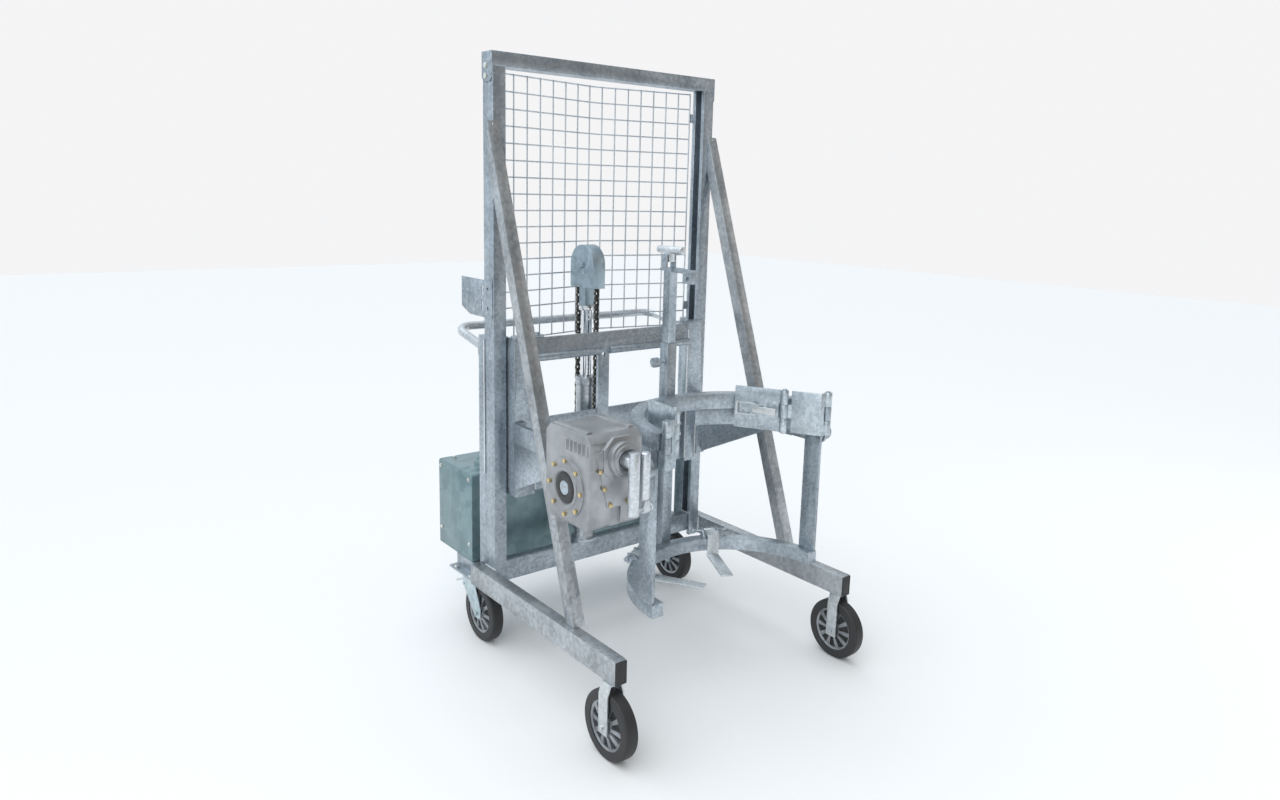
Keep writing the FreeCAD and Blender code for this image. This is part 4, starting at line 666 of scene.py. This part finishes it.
# Jaws: links and curved plates of sheet steel that hinge on knuckled pins, and the toggle
# latch on the right jaw, all bright zinc plate.
jaw_zinc = zinc("jaw_zinc", (0.36, 0.42, 0.46), (0.74, 0.80, 0.84), 120, 0.92, 0.06)
eased(jaw_zinc, 0.001, "jaw_link_left", "jaw_link_right", "jaw_flap_left",
      "jaw_plate_right")
latch_plate = zinc("latch_plate", (0.62, 0.64, 0.64), (0.92, 0.93, 0.92), 300, 0.98, 0.02)
eased(latch_plate, 0.0005, "latch_lever", "latch_hook")

# Wheels: a cast aluminium centre with ten ribs and sunk pockets, and a flat-treaded tyre of
# black elastic rubber with rounded shoulders pressed on it.
tyre_rubber = plastic("tyre_rubber", (0.012, 0.012, 0.013), 0.5, 700)
centre_cast = cast("centre_cast", (0.20, 0.21, 0.22), (0.42, 0.44, 0.46), 0.4, 0.9)
# Near-black floor for the sunk pockets of the wheel centre: painted shade in the recesses, darker than the
# cast centre itself.
pocket_painted_shade = plastic("pocket_painted_shade", (0.02, 0.02, 0.021), 0.7)
tyre_in, tyre_out = 0.071, 0.1


def off_axle(place):
    """Distance from the wheel's axle, which lies along X through the origin."""
    return math.hypot(place.y, place.z)


def tyre_ring(width):
    """Closed ring of rubber, square inside and with rounded shoulders outside."""
    bpy.ops.mesh.primitive_cylinder_add(vertices=72, radius=tyre_out, depth=width,
                                        rotation=(0, math.pi / 2, 0))
    ring = bpy.context.object
    bpy.ops.object.transform_apply(location=True, rotation=True, scale=True)
    bpy.ops.object.mode_set(mode="EDIT")
    pick("faces", lambda f: abs(f.normal.x) > 0.9)
    bpy.ops.mesh.inset(thickness=tyre_out - tyre_in, use_outset=False)
    bpy.ops.mesh.bridge_edge_loops()
    pick("edges", lambda e: min(off_axle(v.co) for v in e.verts) > tyre_out - 0.001
         and abs(e.verts[0].co.x - e.verts[1].co.x) < 0.001)
    bpy.ops.mesh.bevel(offset=0.008, segments=4, affect="EDGES")
    bpy.ops.object.mode_set(mode="OBJECT")
    bpy.ops.object.shade_smooth_by_angle(angle=math.radians(30))
    return ring


def wheel_centre(width):
    """Cast disc with a raised hub and ten sunk pockets on each side, their floors darkened as painted shade.
    """
    bpy.ops.mesh.primitive_cylinder_add(vertices=60, radius=tyre_in + 0.0015, depth=width,
                                        rotation=(0, math.pi / 2, 0))
    disc = bpy.context.object
    bpy.ops.object.transform_apply(location=True, rotation=True, scale=True)
    disc.data.materials.append(centre_cast)
    disc.data.materials.append(pocket_painted_shade)
    disc.active_material_index = 1
    bpy.ops.object.mode_set(mode="EDIT")
    for sign in (-1, 1):
        pick("faces", lambda f: f.normal.x * sign > 0.9)
        bpy.ops.mesh.inset(thickness=0.0075)
        bpy.ops.transform.translate(value=(-0.004 * sign, 0, 0))
        bpy.ops.mesh.inset(thickness=0.038)
        bpy.ops.transform.translate(value=(0.006 * sign, 0, 0))
        bpy.ops.mesh.inset(thickness=0.012)
        bpy.ops.transform.translate(value=(-0.004 * sign, 0, 0))

        def sunk(face):
            middle = face.calc_center_median()
            reach = off_axle(middle)
            turn = math.degrees(math.atan2(middle.z, middle.y)) % 36
            return 0.03 < reach < 0.062 and 7 < turn < 29 and face.normal.x * sign > 0.5

        pick("faces", sunk)
        bpy.ops.mesh.inset(thickness=0.0012)
        bpy.ops.mesh.extrude_region_move()
        bpy.ops.transform.translate(value=(-0.009 * sign, 0, 0))
        # The pocket floors take the near-black material, which is painted shade in the pockets.
        bpy.ops.object.material_slot_assign()
    bpy.ops.object.mode_set(mode="OBJECT")
    round_edges(disc, 0.0008, 40)
    return disc


for node, body in (("wheel_fl", "wheel_front_l"), ("wheel_fr", "wheel_front_r"),
                   ("wheel_rl", "wheel_rear_l"), ("wheel_rr", "wheel_rear_r")):
    low, high = [Vector(corner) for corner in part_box(node)]
    middle = (low + high) / 2
    tread, centre = tyre_ring(0.042), wheel_centre(0.038)
    for piece, finish, name in ((tread, tyre_rubber, "_tyre"), (centre, None, "_centre")):
        piece.name = node + name
        if finish:
            piece.data.materials.clear()
            piece.data.materials.append(finish)
        piece.data.transform(Matrix.Translation(middle))
        settle(piece, body, "tyre" if finish else "cast_case", *([node] if finish else []))

# Wheel forks: flat strap bent over the front wheels and pressed turrets over the rear ones,
# with the brake pedals behind.
strap_zinc = zinc("strap_zinc", (0.44, 0.47, 0.49), (0.74, 0.77, 0.78), 110, 0.9, 0.08)
eased(strap_zinc, 0.004, "front_fork_left", "front_fork_right")
turret_zinc = zinc("turret_zinc", (0.34, 0.42, 0.45), (0.66, 0.75, 0.78), 80, 0.93, 0.03)
eased(turret_zinc, 0.002, "caster_fork_left", "caster_fork_right", "pedal_left",
      "pedal_right")

# Plain pale floor, soft studio light and the camera of the photograph. The light is dim and
# warm low at the front right, so the faces turned there go brown-grey.
bpy.ops.mesh.primitive_plane_add(size=30, location=(0, 0, 0))
floor = bpy.context.object
floor.name = "floor"
floor_paper = bpy.data.materials.new("floor_paper")
floor_paper.use_nodes = True
paper = floor_paper.node_tree.nodes["Principled BSDF"]
paper.inputs["Base Color"].default_value = (0.86, 0.86, 0.86, 1)
paper.inputs["Roughness"].default_value = 0.95
floor.data.materials.append(floor_paper)
world = bpy.data.worlds.new("studio")
bpy.context.scene.world = world
world.use_nodes = True
n, link = world.node_tree.nodes, world.node_tree.links.new
where = n.new("ShaderNodeTexCoord")
front_right = n.new("ShaderNodeVectorMath")
front_right.operation = "DOT_PRODUCT"
front_right.inputs[1].default_value = (0.62, -0.68, -0.38)
link(where.outputs["Generated"], front_right.inputs[0])
fall = n.new("ShaderNodeMapRange")
fall.inputs["From Min"].default_value = -0.35
fall.inputs["From Max"].default_value = 0.75
link(front_right.outputs["Value"], fall.inputs["Value"])
room = n.new("ShaderNodeMix")
room.data_type = "RGBA"
room.inputs["A"].default_value = (0.86, 0.94, 1.0, 1)
room.inputs["B"].default_value = (0.20, 0.17, 0.14, 1)
link(fall.outputs["Result"], room.inputs["Factor"])
seen = n.new("ShaderNodeLightPath")
backdrop = n.new("ShaderNodeMix")
backdrop.data_type = "RGBA"
backdrop.inputs["B"].default_value = (0.91, 0.91, 0.92, 1)
link(seen.outputs["Is Camera Ray"], backdrop.inputs["Factor"])
link(room.outputs["Result"], backdrop.inputs["A"])
link(backdrop.outputs["Result"], n["Background"].inputs["Color"])
for name, kind, at, size, power in (("key", "AREA", (-3.2, -3.4, 3.6), 2.4, 45),
                                    ("fill", "AREA", (3.4, -2.6, 2.4), 2.6, 12),
                                    ("sky", "SUN", (-1.5, 0.8, 6.0), 1.4, 1.1)):
    lamp = bpy.data.lights.new(name, kind)
    lamp.energy = power
    if kind == "SUN":
        lamp.angle = size
    else:
        lamp.size = size
    holder = bpy.data.objects.new(name, lamp)
    bpy.context.scene.collection.objects.link(holder)
    holder.location = at
    aim = Vector((0, -0.2, 0.9)) - holder.location
    holder.rotation_euler = aim.to_track_quat("-Z", "Y").to_euler()
lens = bpy.data.cameras.new("lens")
lens.sensor_width = 36.0
lens.lens = 25.39
lens.shift_x = -0.0016
lens.shift_y = -0.0322
camera = bpy.data.objects.new("camera", lens)
bpy.context.scene.collection.objects.link(camera)
bpy.context.scene.camera = camera
turn = Matrix.Identity(4)
for angle, axis in ((-38.87, "Z"), (-10.4, "X"), (-1.44, "Y"), (90, "X")):
    turn = turn @ Matrix.Rotation(math.radians(angle), 4, axis)
camera.matrix_world = Matrix.Translation((-1.842, -2.471, 1.531)) @ turn
bpy.context.scene.view_settings.view_transform = "Standard"
